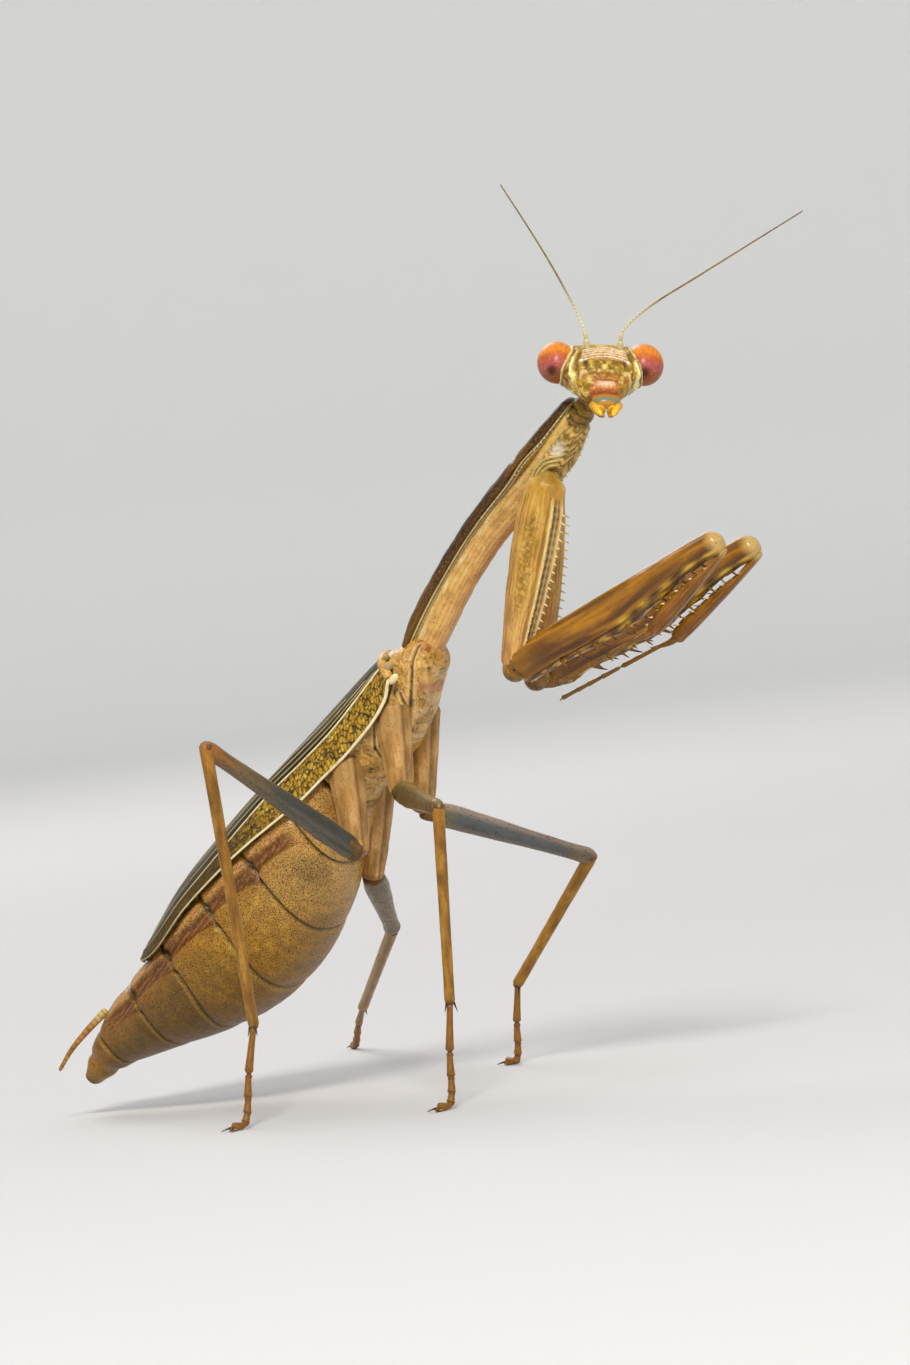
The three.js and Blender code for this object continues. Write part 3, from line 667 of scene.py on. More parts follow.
def walking_coxa(place, angle):
    edge = bump(sin(angle), 0.72, 0.1) + bump(sin(angle), -0.72, 0.1)
    line = bump(sin(angle), 0.88, 0.06) + bump(sin(angle), -0.88, 0.06)
    ribs = sin(angle * 11 + 2 * ripple(place * 3, angle, 8.0))
    cloud = cloudy(place * 3.5, cos(angle) * 1.4, sin(angle) * 1.4, 3)
    tone = layered(
        "c09468", (0.7 * step(cloud, 0.05, 0.5), "dcb48c"), (0.6 * step(cloud, 0.0, -0.5), "84603c"),
        (0.3 * step(ribs, 0.4, 1.0), "7c5a38"), (0.45 * step(place, 0.4, 0.0), "8c6c40"),
        (0.3 * edge, "dcc09c"), (0.6 * line, "4c3018"), (0.6 * step(place, 0.9, 0.95), "84483a"),
    )
    return 0.05 * edge - 0.05 * line + 0.02 * ribs + 0.05 * cloud, tone


def walking_femur(tones):
    """The look of a thigh; its tones run from the hip to the knee, then its edge's."""
    def look(place, angle):
        edge = bump(abs(sin(angle)), 1.0, 0.22)
        rib = bump(sin(angle * 3), 1, 0.3)
        cloud = cloudy(place * 6, cos(angle), sin(angle), 3)
        hip_tone, middle_tone, far_tone, knee_tone, edge_tone = tones
        shift = place + 0.08 * cloud
        tone = layered(
            hip_tone, (step(shift, 0.06, 0.22), middle_tone), (step(shift, 0.5, 0.75), far_tone),
            (step(shift, 0.76, 0.93), knee_tone), (0.3 * step(cloud, -0.1, -0.5), "3a3230"),
            (0.55 * edge, edge_tone), (0.25 * rib, edge_tone),
        )
        return 0.035 * rib + 0.03 * edge + 0.02 * cloud, tone
    return look


def walking_tibia(place, angle):
    edge = bump(sin(angle), 1.0, 0.3)
    cloud = cloudy(place * 9, cos(angle), sin(angle), 3)
    tone = layered(
        "946a30", (0.7 * step(cloud, 0.0, 0.5), "bc9450"), (0.7 * step(cloud, 0.0, -0.5), "5c3c18"),
        (0.5 * edge, "c9a464"), (0.5 * step(place, 0.12, 0.0), "b07430"),
        (0.5 * step(place, 0.9, 1.0), "5c3a1a"),
    )
    return 0.02 * edge + 0.02 * cloud, tone


def walking_leg(name):
    root, hip, knee = leg_joints(name, node_middle("metathorax"), (COXA_END, FEMUR_END))
    ankle = back_off(knee, far_end(f"tibia_{name}", knee), TIBIA_END)
    toe = foot_place(name)
    hinge = (knee - hip).cross(ankle - knee).normalized()
    thigh, shin = (knee - hip).normalized(), (ankle - knee).normalized()
    tall = hinge.cross(thigh)

    shape = blank()
    profile = Profile([f"coxa_{name}"], root, hip + (hip - root).normalized() * COXA_END,
                      LEFT.cross(root - hip), LOWER_PLACES)
    profile.carry_on(-0.25, *COXA_TOP)
    limb(shape, profile, 90, 64, walking_coxa, ends=(-0.2, 1.0), round_ends=(0.6, 0.45))
    finished(f"coxa_skin_{name}", shape, [PLAIN_COXA_SKIN], "coxa", f"coxa_{name}")

    shape = blank()
    collar = curve_through([hip - (hip - root).normalized() * 0.1, hip + thigh * 0.35, hip + thigh * 1.5])
    tube(shape, collar, lambda t: (0.78 - 0.16 * t) * dome(t, 0.2), 18, 28, 0, hint=hinge)
    for way in (1, -1):
        ball(shape, knee + hinge * 0.33 * way, (0.24, 0.24, 0.16), (thigh, tall, hinge))
    ball(shape, ankle, (0.33, 0.33, 0.33), None, 0)
    finished(f"joint_skins_{name}", shape, [JOINT_SKIN], "shin")

    shape = blank()
    profile = Profile([f"femur_{name}"], hip, knee + thigh * FEMUR_END, tall, LIMB_PLACES)
    look = walking_femur(FEMUR_TONES[name])
    limb(shape, profile, 120, 40, look, square=0.92, ends=(0.03, 1.0), round_ends=(0.4, 0.5))
    finished(f"femur_skin_{name}", shape, [FEMUR_SKIN], "femur", f"femur_{name}")

    shape = blank()
    profile = Profile([f"tibia_{name}"], knee, ankle + shin * TIBIA_END, hinge.cross(shin), SHIN_PLACES)
    profile.carry_on(-0.02, *SHIN_TOP)
    limb(shape, profile, 120, 28, walking_tibia, ends=(-0.02, 1.0), round_ends=(0.5, 0.35))
    for side, _ in SIDES:
        spur = ankle + hinge * side * 0.22 - hinge.cross(shin) * 0.15
        claw(shape, spur, (shin + hinge * side * 0.3).normalized(), -hinge.cross(shin) * 0.4, 0.75, 0.09, 1)
    foot(shape, ankle, toe, 0, 1)
    finished(f"shin_skin_{name}", shape, [SHIN_SKIN, HORN], "shin", f"tibia_{name}", f"tarsus_{name}")


for leg_name in ("mid_right", "mid_left", "hind_right", "hind_left"):
    walking_leg(leg_name)


# ---------------------------------------------------------------- grasping legs
RIDGE_STEP = 0.53  # from one tooth of the coxa's edge to the next
RIDGE_ANGLES = (radians(-138), radians(-101))
EDGE_SPOTS = (0.51, 0.61, 0.72, 0.84, 0.94)


def turned(angle, centre, width):
    """A hump round a limb, centred on an angle."""
    return bump((angle - centre + pi) % (2 * pi) - pi, 0, width)


def fore_coxa(place, angle):
    """Two toothed ridges with a dark ladder between them, a squiggled band, and a painted highlight at the
    tip.
    """
    span = place * 13.0
    ends = step(place, 0.1, 0.18) * step(place, 0.98, 0.92)
    ridges = sum(turned(angle, centre, 0.1) for centre in RIDGE_ANGLES)
    valley = turned(angle, radians(-120), 0.23)
    side_line = turned(angle, radians(-150), 0.06) + 0.7 * turned(angle, radians(142), 0.08)
    rungs = step(sin(2 * pi * span / RIDGE_STEP), -0.4, 0.3)
    wander = ripple(span * 0.5, angle * 2, 0.0)
    lines = sin(angle * 30 + 5 * wander) * step(place, 0.03, 0.15)
    marks = sin(span * 12.0 + 8 * ripple(span * 1.6, angle * 4, 4.0))
    band = turned(angle, radians(177), 0.26) * step(place, 0.17, 0.25) * step(place, 0.72, 0.64)
    squiggle = band * step(marks, -0.1, 0.5)
    cloud = cloudy(span * 0.5, angle * 1.1, 6.0, 4)
    tone = layered(
        "cc9c58", (0.5 * step(place, 0.3, 0.08), "bc9648"), (0.85 * step(place, 0.4, 0.9), "cc9678"),
        (0.55 * step(cloud, 0.05, 0.45), "e3be7c"), (0.5 * step(cloud, -0.05, -0.45), "93703a"),
        (0.3 * step(lines, 0.3, 1.0), "e8cc96"), (0.3 * step(lines, -0.3, -1.0), "8a6632"),
        (0.35 * band, "ae8c48"), (0.7 * squiggle, "7c6024"), (0.6 * ends * side_line, "6e4e22"),
        (0.9 * ends * valley, "8c7858"), (0.75 * ends * step(valley, 0.35, 0.7) * rungs, "382a1c"),
        (0.6 * ends * turned(angle, radians(-117), 0.05), "d0c8bc"),
        # efe4cc near the lower end is a painted highlight on the coxa's tip.
        (0.9 * ends * step(ridges, 0.3, 0.8), "ecd8a8"), (0.75 * step(place, 0.95, 0.985), "efe4cc"),
        (0.6 * step(place, 0.07, 0.02), "8a7030"),
    )
    lift = ends * (0.12 * ridges - 0.13 * valley - 0.05 * side_line) + 0.008 * lines - 0.03 * squiggle
    return lift + 0.03 * cloud, tone


def fore_femur(place, angle):
    """Brown above with golden streaks and a painted highlight, then a dark groove, a spotted lower edge and a
    band of painted shade below it.
    """
    span = place * 17.0
    groove_angle = radians(-30) - 0.5 * (1 - place)
    base = step(place, 0.95, 0.8)
    groove = turned(angle, groove_angle, 0.09) * step(place, 0.02, 0.08) * base
    lumps = cloudy(span * 1.1, angle * 2.4, 1.0, 3)
    streak = cloudy(span * 0.22, angle * 3.2, 9.0, 4)
    below = step(-angle, -groove_angle, -groove_angle + 0.15) * step(-angle, 2.6, 2.2)
    spots = sum(bump(place, spot, 0.03) for spot in EDGE_SPOTS) * turned(angle, radians(-36), 0.17)
    gaps = sum(bump(place, spot + 0.05, 0.035) for spot in EDGE_SPOTS)
    gaps *= turned(angle, radians(-50), 0.28)
    keel = turned(angle, radians(76), 0.12) * step(place, 0.1, 0.2)
    # glow is a painted highlight: a broad pale band along the upper side of the femur.
    glow = turned(angle, radians(28), 0.4) * step(place, 0.1, 0.3) * step(place, 0.98, 0.8)
    lobe = 0.12 * bump(place, 0.965, 0.04)
    tone = layered(
        "805414", (0.75 * step(streak, 0.05, 0.4), "c48a1c"), (0.85 * step(streak, -0.02, -0.4), "402404"),
        (0.45 * glow, "d49a24"),
        (0.6 * turned(angle, radians(-12), 0.16) * step(place, 0.15, 0.4), "42260a"),
        # Painted shade: a dark band along the femur's lower edge.
        (0.6 * turned(angle, radians(-74), 0.2) * step(place, 0.05, 0.15), "241404"),
        (0.5 * step(place, 0.2, 0.0), "b8892c"), (0.7 * below * base, "9a7422"),
        (0.85 * below * base * step(lumps, 0.0, 0.25), "241405"),
        (0.8 * below * step(lumps, -0.1, -0.35), "f0c64c"), (groove, "180c04"), (0.9 * gaps, "2c1606"),
        (0.95 * spots, "f6cc54"), (0.5 * keel, "e8b860"), (0.8 * step(place, 0.93, 0.98), "e3c48c"),
    )
    lift = lobe + 0.05 * keel - 0.13 * groove + 0.06 * spots + 0.09 * below * base * lumps + 0.03 * streak
    return lift, tone


def fore_tibia(place, angle):
    shine = turned(angle, radians(-20), 0.35) * step(place, 0.06, 0.15) * step(place, 0.9, 0.75)
    rim = turned(angle, radians(88), 0.5)
    keel = turned(angle, radians(-75), 0.12)
    streak = cloudy(place * 2.5, angle * 2.6, 3.0, 4)
    tone = layered(
        "8c5c18", (0.6 * step(streak, 0.05, 0.4), "c08c2c"), (0.6 * step(streak, -0.05, -0.4), "54340c"),
        (0.6 * rim * step(place, 0.03, 0.1), "4a2a0c"), (0.5 * keel, "e0ac48"), (0.5 * shine, "f0dcae"),
        (0.6 * step(place, 0.1, 0.03), "e6c890"),
    )
    return 0.03 * keel + 0.04 * step(place, 0.1, 0.03) + 0.02 * streak, tone


def spine_row(shape, profile, first, last, count, splay, length, radius, edge, material, slant=0.35):
    """Spines on the lower edge of a grasping piece; every other one is shorter."""
    for i in range(count):
        t = first + (last - first) * i / max(1, count - 1)
        reach = length * (1.0 if i % 2 == 0 else 0.62)
        root = profile.point(t, edge, -0.15)
        out = (root - profile.read(t)[0]).normalized()
        way = (out + profile.side * splay + profile.along * slant).normalized()
        base, bend = root.copy(), profile.along

        def route(s, base=base, way=way, bend=bend, reach=reach):
            return base + way * reach * s + bend * reach * 0.22 * s * s
        size = radius * (1.0 if i % 2 == 0 else 0.8)
        tube(shape, route, lambda s, size=size: size * (1 - 0.86 * s) * capped(s, 0.03, 0.03),
             8, 8, material, paint=lambda s: (0, 0, step(s, 0.45, 0.95)))


def foreleg(side, word):
    coxa_tip = far_end(f"coxa_fore_{word}", node_middle("prosternum"))
    root = far_end(f"coxa_fore_{word}", coxa_tip)
    hip = back_off(root, coxa_tip, FOREARM_ENDS[0])
    knee = back_off(hip, far_end(f"femur_fore_{word}", hip, 0.1), FOREARM_ENDS[1])
    point = far_end(f"tibia_fore_{word}", knee, 0.05)
    tip = back_off(knee, point, CLAW_LENGTH)
    toe = far_end(f"tarsus_fore_{word}", knee)
    hinge = (knee - hip).cross(tip - knee).normalized()
    thigh, shin = (knee - hip).normalized(), (tip - knee).normalized()

    shape = blank()
    profile = Profile([f"coxa_fore_{word}"], root, hip + (hip - root).normalized() * FOREARM_ENDS[0],
                      hinge.cross(hip - root), LIMB_PLACES)
    def look(place, angle):
        return fore_coxa(place, angle if side < 0 else pi - angle)
    limb(shape, profile, 210, 130, look, square=0.9, round_ends=(0.9, 0.6))
    for angle, sizes in zip(RIDGE_ANGLES, ((0.2, 0.065), (0.28, 0.075))):
        count = int(profile.length * 0.76 / RIDGE_STEP)
        for i in range(count):
            t = 0.17 + 0.76 * (i + (0.5 if angle > -2 else 0.0)) / count
            foot_of = profile.point(t, angle if side < 0 else pi - angle, 0.07)
            out = (foot_of - profile.read(t)[0]).normalized() + profile.along * 0.35
            reach = sizes[0] * random.uniform(0.75, 1.25)
            cone(shape, foot_of - out * 0.05, foot_of + out * reach, sizes[1], 6, 1, 0.45)
    finished(f"coxa_skin_fore_{word}", shape, [COXA_SKIN, PALE_HORN], "coxa", f"coxa_fore_{word}")

    shape = blank()
    tall = (-hinge).cross(thigh)
    ring = curve_through([hip - (hip - root).normalized() * 0.35, hip + thigh * 0.3, hip + thigh * 1.3])
    tube(shape, ring, lambda t: (0.95 - 0.1 * t) * dome(t, 0.25), 18, 32, 0, hint=hinge)
    ball(shape, hip + hinge.cross(thigh) * 0.2 - profile.along * 0.1, (0.85, 0.85, 0.85), None, 0, 3)
    finished(f"hip_skin_fore_{word}", shape, [HIP_SKIN], "grasper")

    shape = blank()
    profile = Profile([f"femur_fore_{word}"], hip, knee + thigh * FOREARM_ENDS[1], tall, LIMB_PLACES)
    limb(shape, profile, 180, 96, fore_femur, square=0.95, ends=(0.01, 1.0), round_ends=(0.7, 0.55))
    outer = radians(-62) if side < 0 else radians(-118)
    inner = radians(-180) - outer
    splay = 0.35 if side < 0 else -0.35
    spine_row(shape, profile, 0.2, 0.5, 5, splay, 1.35, 0.17, outer, 1)
    spine_row(shape, profile, 0.24, 0.86, 13, -splay, 0.95, 0.13, inner, 1)
    finished(f"femur_skin_fore_{word}", shape, [GRASPER_SKIN, AMBER_HORN], "grasper", f"femur_fore_{word}")

    shape = blank()
    profile = Profile([f"tibia_fore_{word}"], knee, tip, hinge.cross(shin),
                      (0.1, 0.16, 0.24, 0.34, 0.46, 0.6, 0.72, 0.84, 0.94))
    limb(shape, profile, 110, 56, fore_tibia, round_ends=(0.7, 0.4))
    claw(shape, tip - shin * 0.5, shin, hinge.cross(shin), 0.5 + CLAW_LENGTH * 0.93, 0.34, 1, 14)
    for edge, count, reach in ((62, 11, 0.62), (118, 10, 0.5)):
        spine_row(shape, profile, 0.22, 0.95, count, 0.0, reach, 0.1, radians(edge), 2, 0.55)
    finished(f"tibia_skin_fore_{word}", shape, [GRASPER_SKIN, AMBER_HORN, PALE_HORN], "grasper",
             f"tibia_fore_{word}")

    shape = blank()
    start = back_off(knee, tip, 0.3)
    way = (toe - start).normalized()
    for a, b in ((0.0, 0.5), (0.49, 0.66), (0.65, 0.78), (0.77, 0.87), (0.86, 1.0)):
        first, last = start.lerp(toe, a), start.lerp(toe, b)
        tube(shape, lambda t, p=first, q=last: p.lerp(q, t), lambda t: (0.13 + 0.05 * t * t)
             * capped(t, 0.05, 0.08), 12, 14, 0, hint=hinge, paint=(0.2, 0.45, 0))
    for bend in (1, -1):
        claw(shape, toe - way * 0.12, (way + hinge * bend * 0.6).normalized(), -UP, 0.3, 0.07, 1)
    finished(f"foot_skin_fore_{word}", shape, [GRASPER_SKIN, HORN], "grasper", f"tarsus_fore_{word}")


for leg_side, leg_word in SIDES:
    foreleg(leg_side, leg_word)


# ---------------------------------------------------------------- the trunk
TRUNK_PITCH = radians(38.4)
BACKWARDS = Vector((-cos(TRUNK_PITCH), 0, -sin(TRUNK_PITCH)))
BACK_UP = Vector((-sin(TRUNK_PITCH), 0, cos(TRUNK_PITCH)))
METATHORAX_FRONT, METATHORAX_TOP = 3.42, 0.45  # its place, and its depth below the line of the back
WIDEST = 0.45  # share of the trunk's depth, from the top, where it is widest
# Rows are [place, depth of the top, depth of the belly, half width], below the line of the back.
TRUNK_ROWS = [
    [-2.8, 0.7, 2.7, 1.4], [0, 0.6, 4.0, 2.3], [3, 0.48, 5.2, 2.8], [6, 0.45, 5.5, 3.0],
    [9, 0.45, 5.7, 3.4], [12, 0.45, 7.0, 4.2], [15, 0.5, 8.6, 5.0], [18.5, 0.6, 9.85, 5.4],
    [22, 0.8, 10.25, 5.5], [25, 1.25, 9.9, 5.1], [28, 1.85, 8.9, 4.4], [31, 1.9, 7.5, 3.6],
    [34, 2.1, 6.0, 2.6], [36.5, 2.7, 5.0, 1.7], [38.9, 3.6, 4.5, 0.7],
]
SEAMS = (9.0, 12.2, 16.4, 20.9, 25.9, 30.5, 35.0)
SEAM_SWEEP = (0.4, 0.8, 1.0, 1.5, 1.8, 0.8, 0.3)  # how far back each seam runs at the belly's middle
SEAM_REACH = 1.6
TAIL_END = 38.9


def trunk_zero():
    points, _ = solid("metathorax")
    place = min(p.dot(BACKWARDS) for p in points) - METATHORAX_FRONT
    height = max(p.dot(BACK_UP) for p in points) + METATHORAX_TOP
    return BACKWARDS * place + BACK_UP * height + LEFT * node_middle("metathorax").y


TRUNK_ZERO = trunk_zero()


def on_trunk(place, across, height):
    return TRUNK_ZERO + BACKWARDS * place + LEFT * across + BACK_UP * height


def trunk_ring(place, angle, grow=0.0, roof=None, least=0.0):
    """Across and height of a point round the trunk; angle 0 is its left side."""
    top, belly, wide = smooth_read(TRUNK_ROWS, place)
    level = top + WIDEST * (belly - top)
    height = level - (top if roof is None else roof) if sin(angle) > 0 else belly - level
    return ((max(wide, least) + grow) * signed_power(cos(angle), 0.85),
            (height + grow) * signed_power(sin(angle), 0.85) - level)


def lowness(angle):
    """0 on the back and the sides of the trunk, and 1 along the middle of the belly."""
    return max(0.0, -sin(angle)) ** 1.4


def abdomen_relief(place, angle, _, height):
    """The plates, their seams, the side bars and the pink folds below them, with painted shade on the folds
    and the belly and a painted highlight behind each seam.
    """
    low = lowness(angle)
    seams = [seam + sweep * low for seam, sweep in zip(SEAMS, SEAM_SWEEP)]
    front = max([seam for seam in seams if seam <= place], default=seams[0] - 3)
    rear = min([seam for seam in seams if seam > place], default=TAIL_END + 3)
    ahead, behind = place - front, rear - place
    share = ahead / (ahead + behind)
    drop = 0.13 * bump(ahead, 0, 0.2) + 0.08 * bump(behind, 0, 0.05)
    swell = 0.1 * (1 - (2 * share - 1) ** 4)
    inside = step(place, 12.5, 14.0) * step(place, 34.5, 32.0)
    level = -3.45 + 0.055 * (place - 16) + 0.4 * (share - 0.5)
    bar_end = step(min(ahead, behind), 0.1, 0.4)
    side_bar = step(abs(height - level), 0.46, 0.3) * bar_end * inside
    plate_edge = level - 1.3 - 0.75 * exp(-ahead / 0.55) - 0.3 * exp(-behind / 0.35)
    valley = step(height, level - 0.3, level - 0.5) * step(height, plate_edge, plate_edge + 0.22) * inside
    edge_line = bump(height, plate_edge + 0.1, 0.09) * inside
    creased = cloudy(place * 1.4, height * 1.4, 2.0, 3)
    pleat = sin(place * 1.2 + height * 15 + 3 * creased)
    # Painted shade in the deep corners of the fold at each seam.
    seam_corner_shade = bump(min(ahead, behind), 0, 0.3) * bump(height, level - 0.3, 0.5) * inside
    grow = 0.02 + swell - drop - 0.36 * valley + 0.1 * side_bar + 0.02 * creased + 0.03 * valley * pleat
    waist = 0.16 * bump(place, 36.9, 0.35) + 0.12 * step(place, 36.9, 38.6)
    patch = ripple(place * 0.4, angle * 1.3, 5.0)
    rear_shade = step(place, 21, 29) * step(place, 37.5, 35.5)
    split = bump(behind, 0, 0.1) + bump(ahead, 0, 0.12)
    tone = layered(
        "bd8c32", (0.6 * step(creased, 0.05, 0.5), "dcb050"), (0.5 * step(creased, -0.05, -0.5), "8c6824"),
        (0.7 * step(place, 21, 12), "ecc490"), (0.35 * step(patch, 0.05, 0.45), "6c5a20"),
        (0.85 * rear_shade, "5c4410"), (0.55 * bump(ahead, 0.7, 0.8) * step(place, 22, 27), "443408"),
        # Painted shade: the middle of the belly is darkened where it faces down.
        (0.55 * low * step(place, 13, 20), "5c4410"),
        (0.4 * step(height, level - 2.6, level - 1.4), "b87c40"),
        (0.7 * step(height, level + 0.3, level + 1.2), "6c4a20"), (0.9 * side_bar, "dcab7c"),
        # valley is the pink fold membrane, its dark pinkish brown deepened by painted shade in the recess.
        (0.6 * side_bar * step(pleat, 0.2, 0.9), "a86c44"), (0.95 * valley, "7c4034"),
        (0.7 * valley * step(pleat, 0.2, 0.9), "48201a"), (0.6 * valley * step(pleat, -0.4, -0.95), "c48a6c"),
        # The near-black 240f08 is painted shade in the fold's corners at the seams.
        (0.7 * edge_line, "4c2a14"), (0.9 * seam_corner_shade, "240f08"),
        # Painted highlight: a pale line just behind each seam; split is the dark seam line itself.
        (0.3 * bump(ahead, 0.3, 0.1), "dcb878"), (0.95 * split, "1c1004"),
        (0.6 * step(place, 36.9, 37.3), "94702c"), (0.85 * step(place, 38.2, 38.6), "3c240c"),
    )
    return grow - waist, BARE, tone


def near_seams(place, angle):
    """Draws the rings of the skin closer together at the seams, which are thin."""
    low = lowness(angle)
    for seam, sweep in zip(SEAMS[1:], SEAM_SWEEP[1:]):
        gap = (place - seam - sweep * low) / SEAM_REACH
        if abs(gap) < 0.5:
            place -= 0.8 * SEAM_REACH * sin(2 * pi * gap) / (2 * pi)
    return place


def trunk_skin(name, reach, round_ends, fineness, relief, material, slot, nodes):
    """A skin round a stretch of the trunk; relief(place, angle, across, height) gives its notes."""
    shape = blank()
    first, last = reach

    def place(t, angle):
        along = near_seams(first + (last - first) * t, angle)
        across, height = trunk_ring(along, angle)
        grow, *notes = relief(along, angle, abs(across), height)
        rim = dome(along - first, round_ends[0]) * dome(last - along, round_ends[1])
        across, height = trunk_ring(along, angle, grow)
        centre = (trunk_ring(along, -pi / 2)[1] + trunk_ring(along, pi / 2)[1]) / 2
        point = on_trunk(along, across * rim, centre + (height - centre) * rim)
        return point, (along, across, height), *notes

    wrapped(shape, *fineness, place)
    finished(name, shape, [material], slot, *nodes)


def cercus(side, word):
    """A tapering tail feeler of short beads."""
    shape = blank()
    route = curve_through([
        on_trunk(33.6, side * 1.5, -1.95), on_trunk(35.2, side * 2.2, -2.1),
        on_trunk(37.0, side * 2.8, -2.35), on_trunk(38.65, side * 3.1, -2.8),
    ])
    beads = 13

    def ring(t):
        return abs(sin(pi * beads * t ** 0.9))

    def radius(t):
        return (0.3 - 0.17 * t) * (0.9 + 0.1 * ring(t) ** 0.6) * capped(t, 0.04, 0.05)

    def paint(t):
        return 0.9 * step(t, 0.35, 0.1), 0.0, 0.7 * (1 - ring(t)) ** 2

    tube(shape, route, radius, 130, 22, hint=BACK_UP, paint=paint)
    finished(f"cercus_skin_{word}", shape, [CERCUS_SKIN], "cercus", f"cercus_{word}")


# The thorax's sutures, as [place, height] points down its side, the same on the left and right.
SUTURES = (
    ((-2.0, -1.5), (-1.1, -2.0), (0.2, -3.2), (1.4, -4.1), (2.5, -4.7), (3.4, -5.2)),
    ((-1.4, -3.0), (-0.7, -3.6), (0.2, -4.2), (1.1, -4.9)),
    ((0.3, -1.6), (0.8, -2.0), (1.9, -2.7), (2.6, -3.4), (3.0, -4.4)),
    ((0.9, -1.5), (1.6, -2.1), (2.4, -2.4), (3.4, -3.4), (3.9, -4.4)),
    ((1.0, -3.0), (1.3, -3.6), (1.5, -4.0)),
    ((1.2, -4.6), (1.9, -4.8), (2.8, -5.0)),
    ((3.2, -2.6), (4.2, -3.6), (5.0, -4.3), (5.4, -5.2)),
    ((6.2, -2.8), (7.0, -3.8), (7.3, -5.0)),
)


def line_gap(place, height, line):
    """The distance in millimetres from a drawn line."""
    best = 9.0
    for (a, b), (c, d) in zip(line, line[1:]):
        run, rise = c - a, d - b
        t = ((place - a) * run + (height - b) * rise) / (run * run + rise * rise)
        t = min(1.0, max(0.0, t))
        best = min(best, hypot(place - a - run * t, height - b - rise * t))
    return best


def thorax_relief(place, _, across, height):
    gaps = [line_gap(place, height, line) for line in SUTURES]
    nearest = min(gaps)
    groove = bump(nearest, 0, 0.075) * step(across, 0.9, 1.7)
    lips = bump(nearest, 0.17, 0.08)
    wrinkle = noise.fractal(Vector((place * 1.1, across * 0.9, height * 1.1)), 1.0, 2.1, 4)
    down_lines = sin((place * 0.78 + height * 0.62) * 10 + 9 * wrinkle)
    membrane = step(place, -1.7, -2.3) * step(height, -1.0, -1.6) * step(height, -2.6, -2.0)
    spot = bump(place, -0.2, 0.35) * bump(height, -3.65, 0.35)
    scutum = 0.6 * bump(place, 0.5, 1.3) * step(height, -2.4, -1.0)
    grow = 0.02 - 0.13 * groove + 0.03 * lips + 0.07 * wrinkle + 0.012 * down_lines + scutum
    dark = 0.75 * groove + 0.3 * step(wrinkle, -0.15, -0.6) + 0.6 * step(down_lines, 0.75, 1.0)
    return grow, (min(1, 0.8 * membrane + 0.9 * spot), min(1, dark), min(1, 0.25 * lips))


# ---------------------------------------------------------------- wings
WING_START, WING_END = 0.4, 28.2
WING_LIFT = 0.74  # the wings' outer face stands this far off the trunk
# Rows are [place, angle of the inner margin, of the outer edge and of the main vein, depth of the top].
WING_ROWS = [
    [0.4, 88, 4, 30, -0.15], [2, 88, -5, 27, -0.27], [6, 88, -8, 21, -0.3], [9, 88, -6, 22, -0.3],
    [12, 88, 1, 29, -0.3], [15, 88, 12, 32, -0.25], [18, 88, 20, 34, -0.15], [22, 88, 25, 36, 0.05],
    [26, 88, 28, 42, 0.75], [27.6, 84, 38, 55, 1.05], [28.2, 76, 52, 66, 1.2],
]


def wing_point(side, place, angle, lift=0.0):
    roof = smooth_read(WING_ROWS, place)[3]
    across, height = trunk_ring(place, radians(angle), WING_LIFT + lift, roof + WING_LIFT, 2.6)
    return on_trunk(place, side * max(0.12, across), height)


def vein(shape, side, first, last, share, radius, material, paint=BARE, rings=90):
    """A raised vein; share(t) is its place between the main vein at 0 and the inner margin at 1."""
    def route(t):
        place = first + (last - first) * t
        inner, outer, main, _ = smooth_read(WING_ROWS, place)
        k = share(t)
        angle = main + (inner - main) * k if k >= 0 else main + (main - outer) * k
        return wing_point(side, place, angle, 0.0)
    tube(shape, route, lambda t: radius * (1 - 0.62 * t) * capped(t, 0.01, 0.01), rings, 8,
         material, hint=BACK_UP, paint=paint)


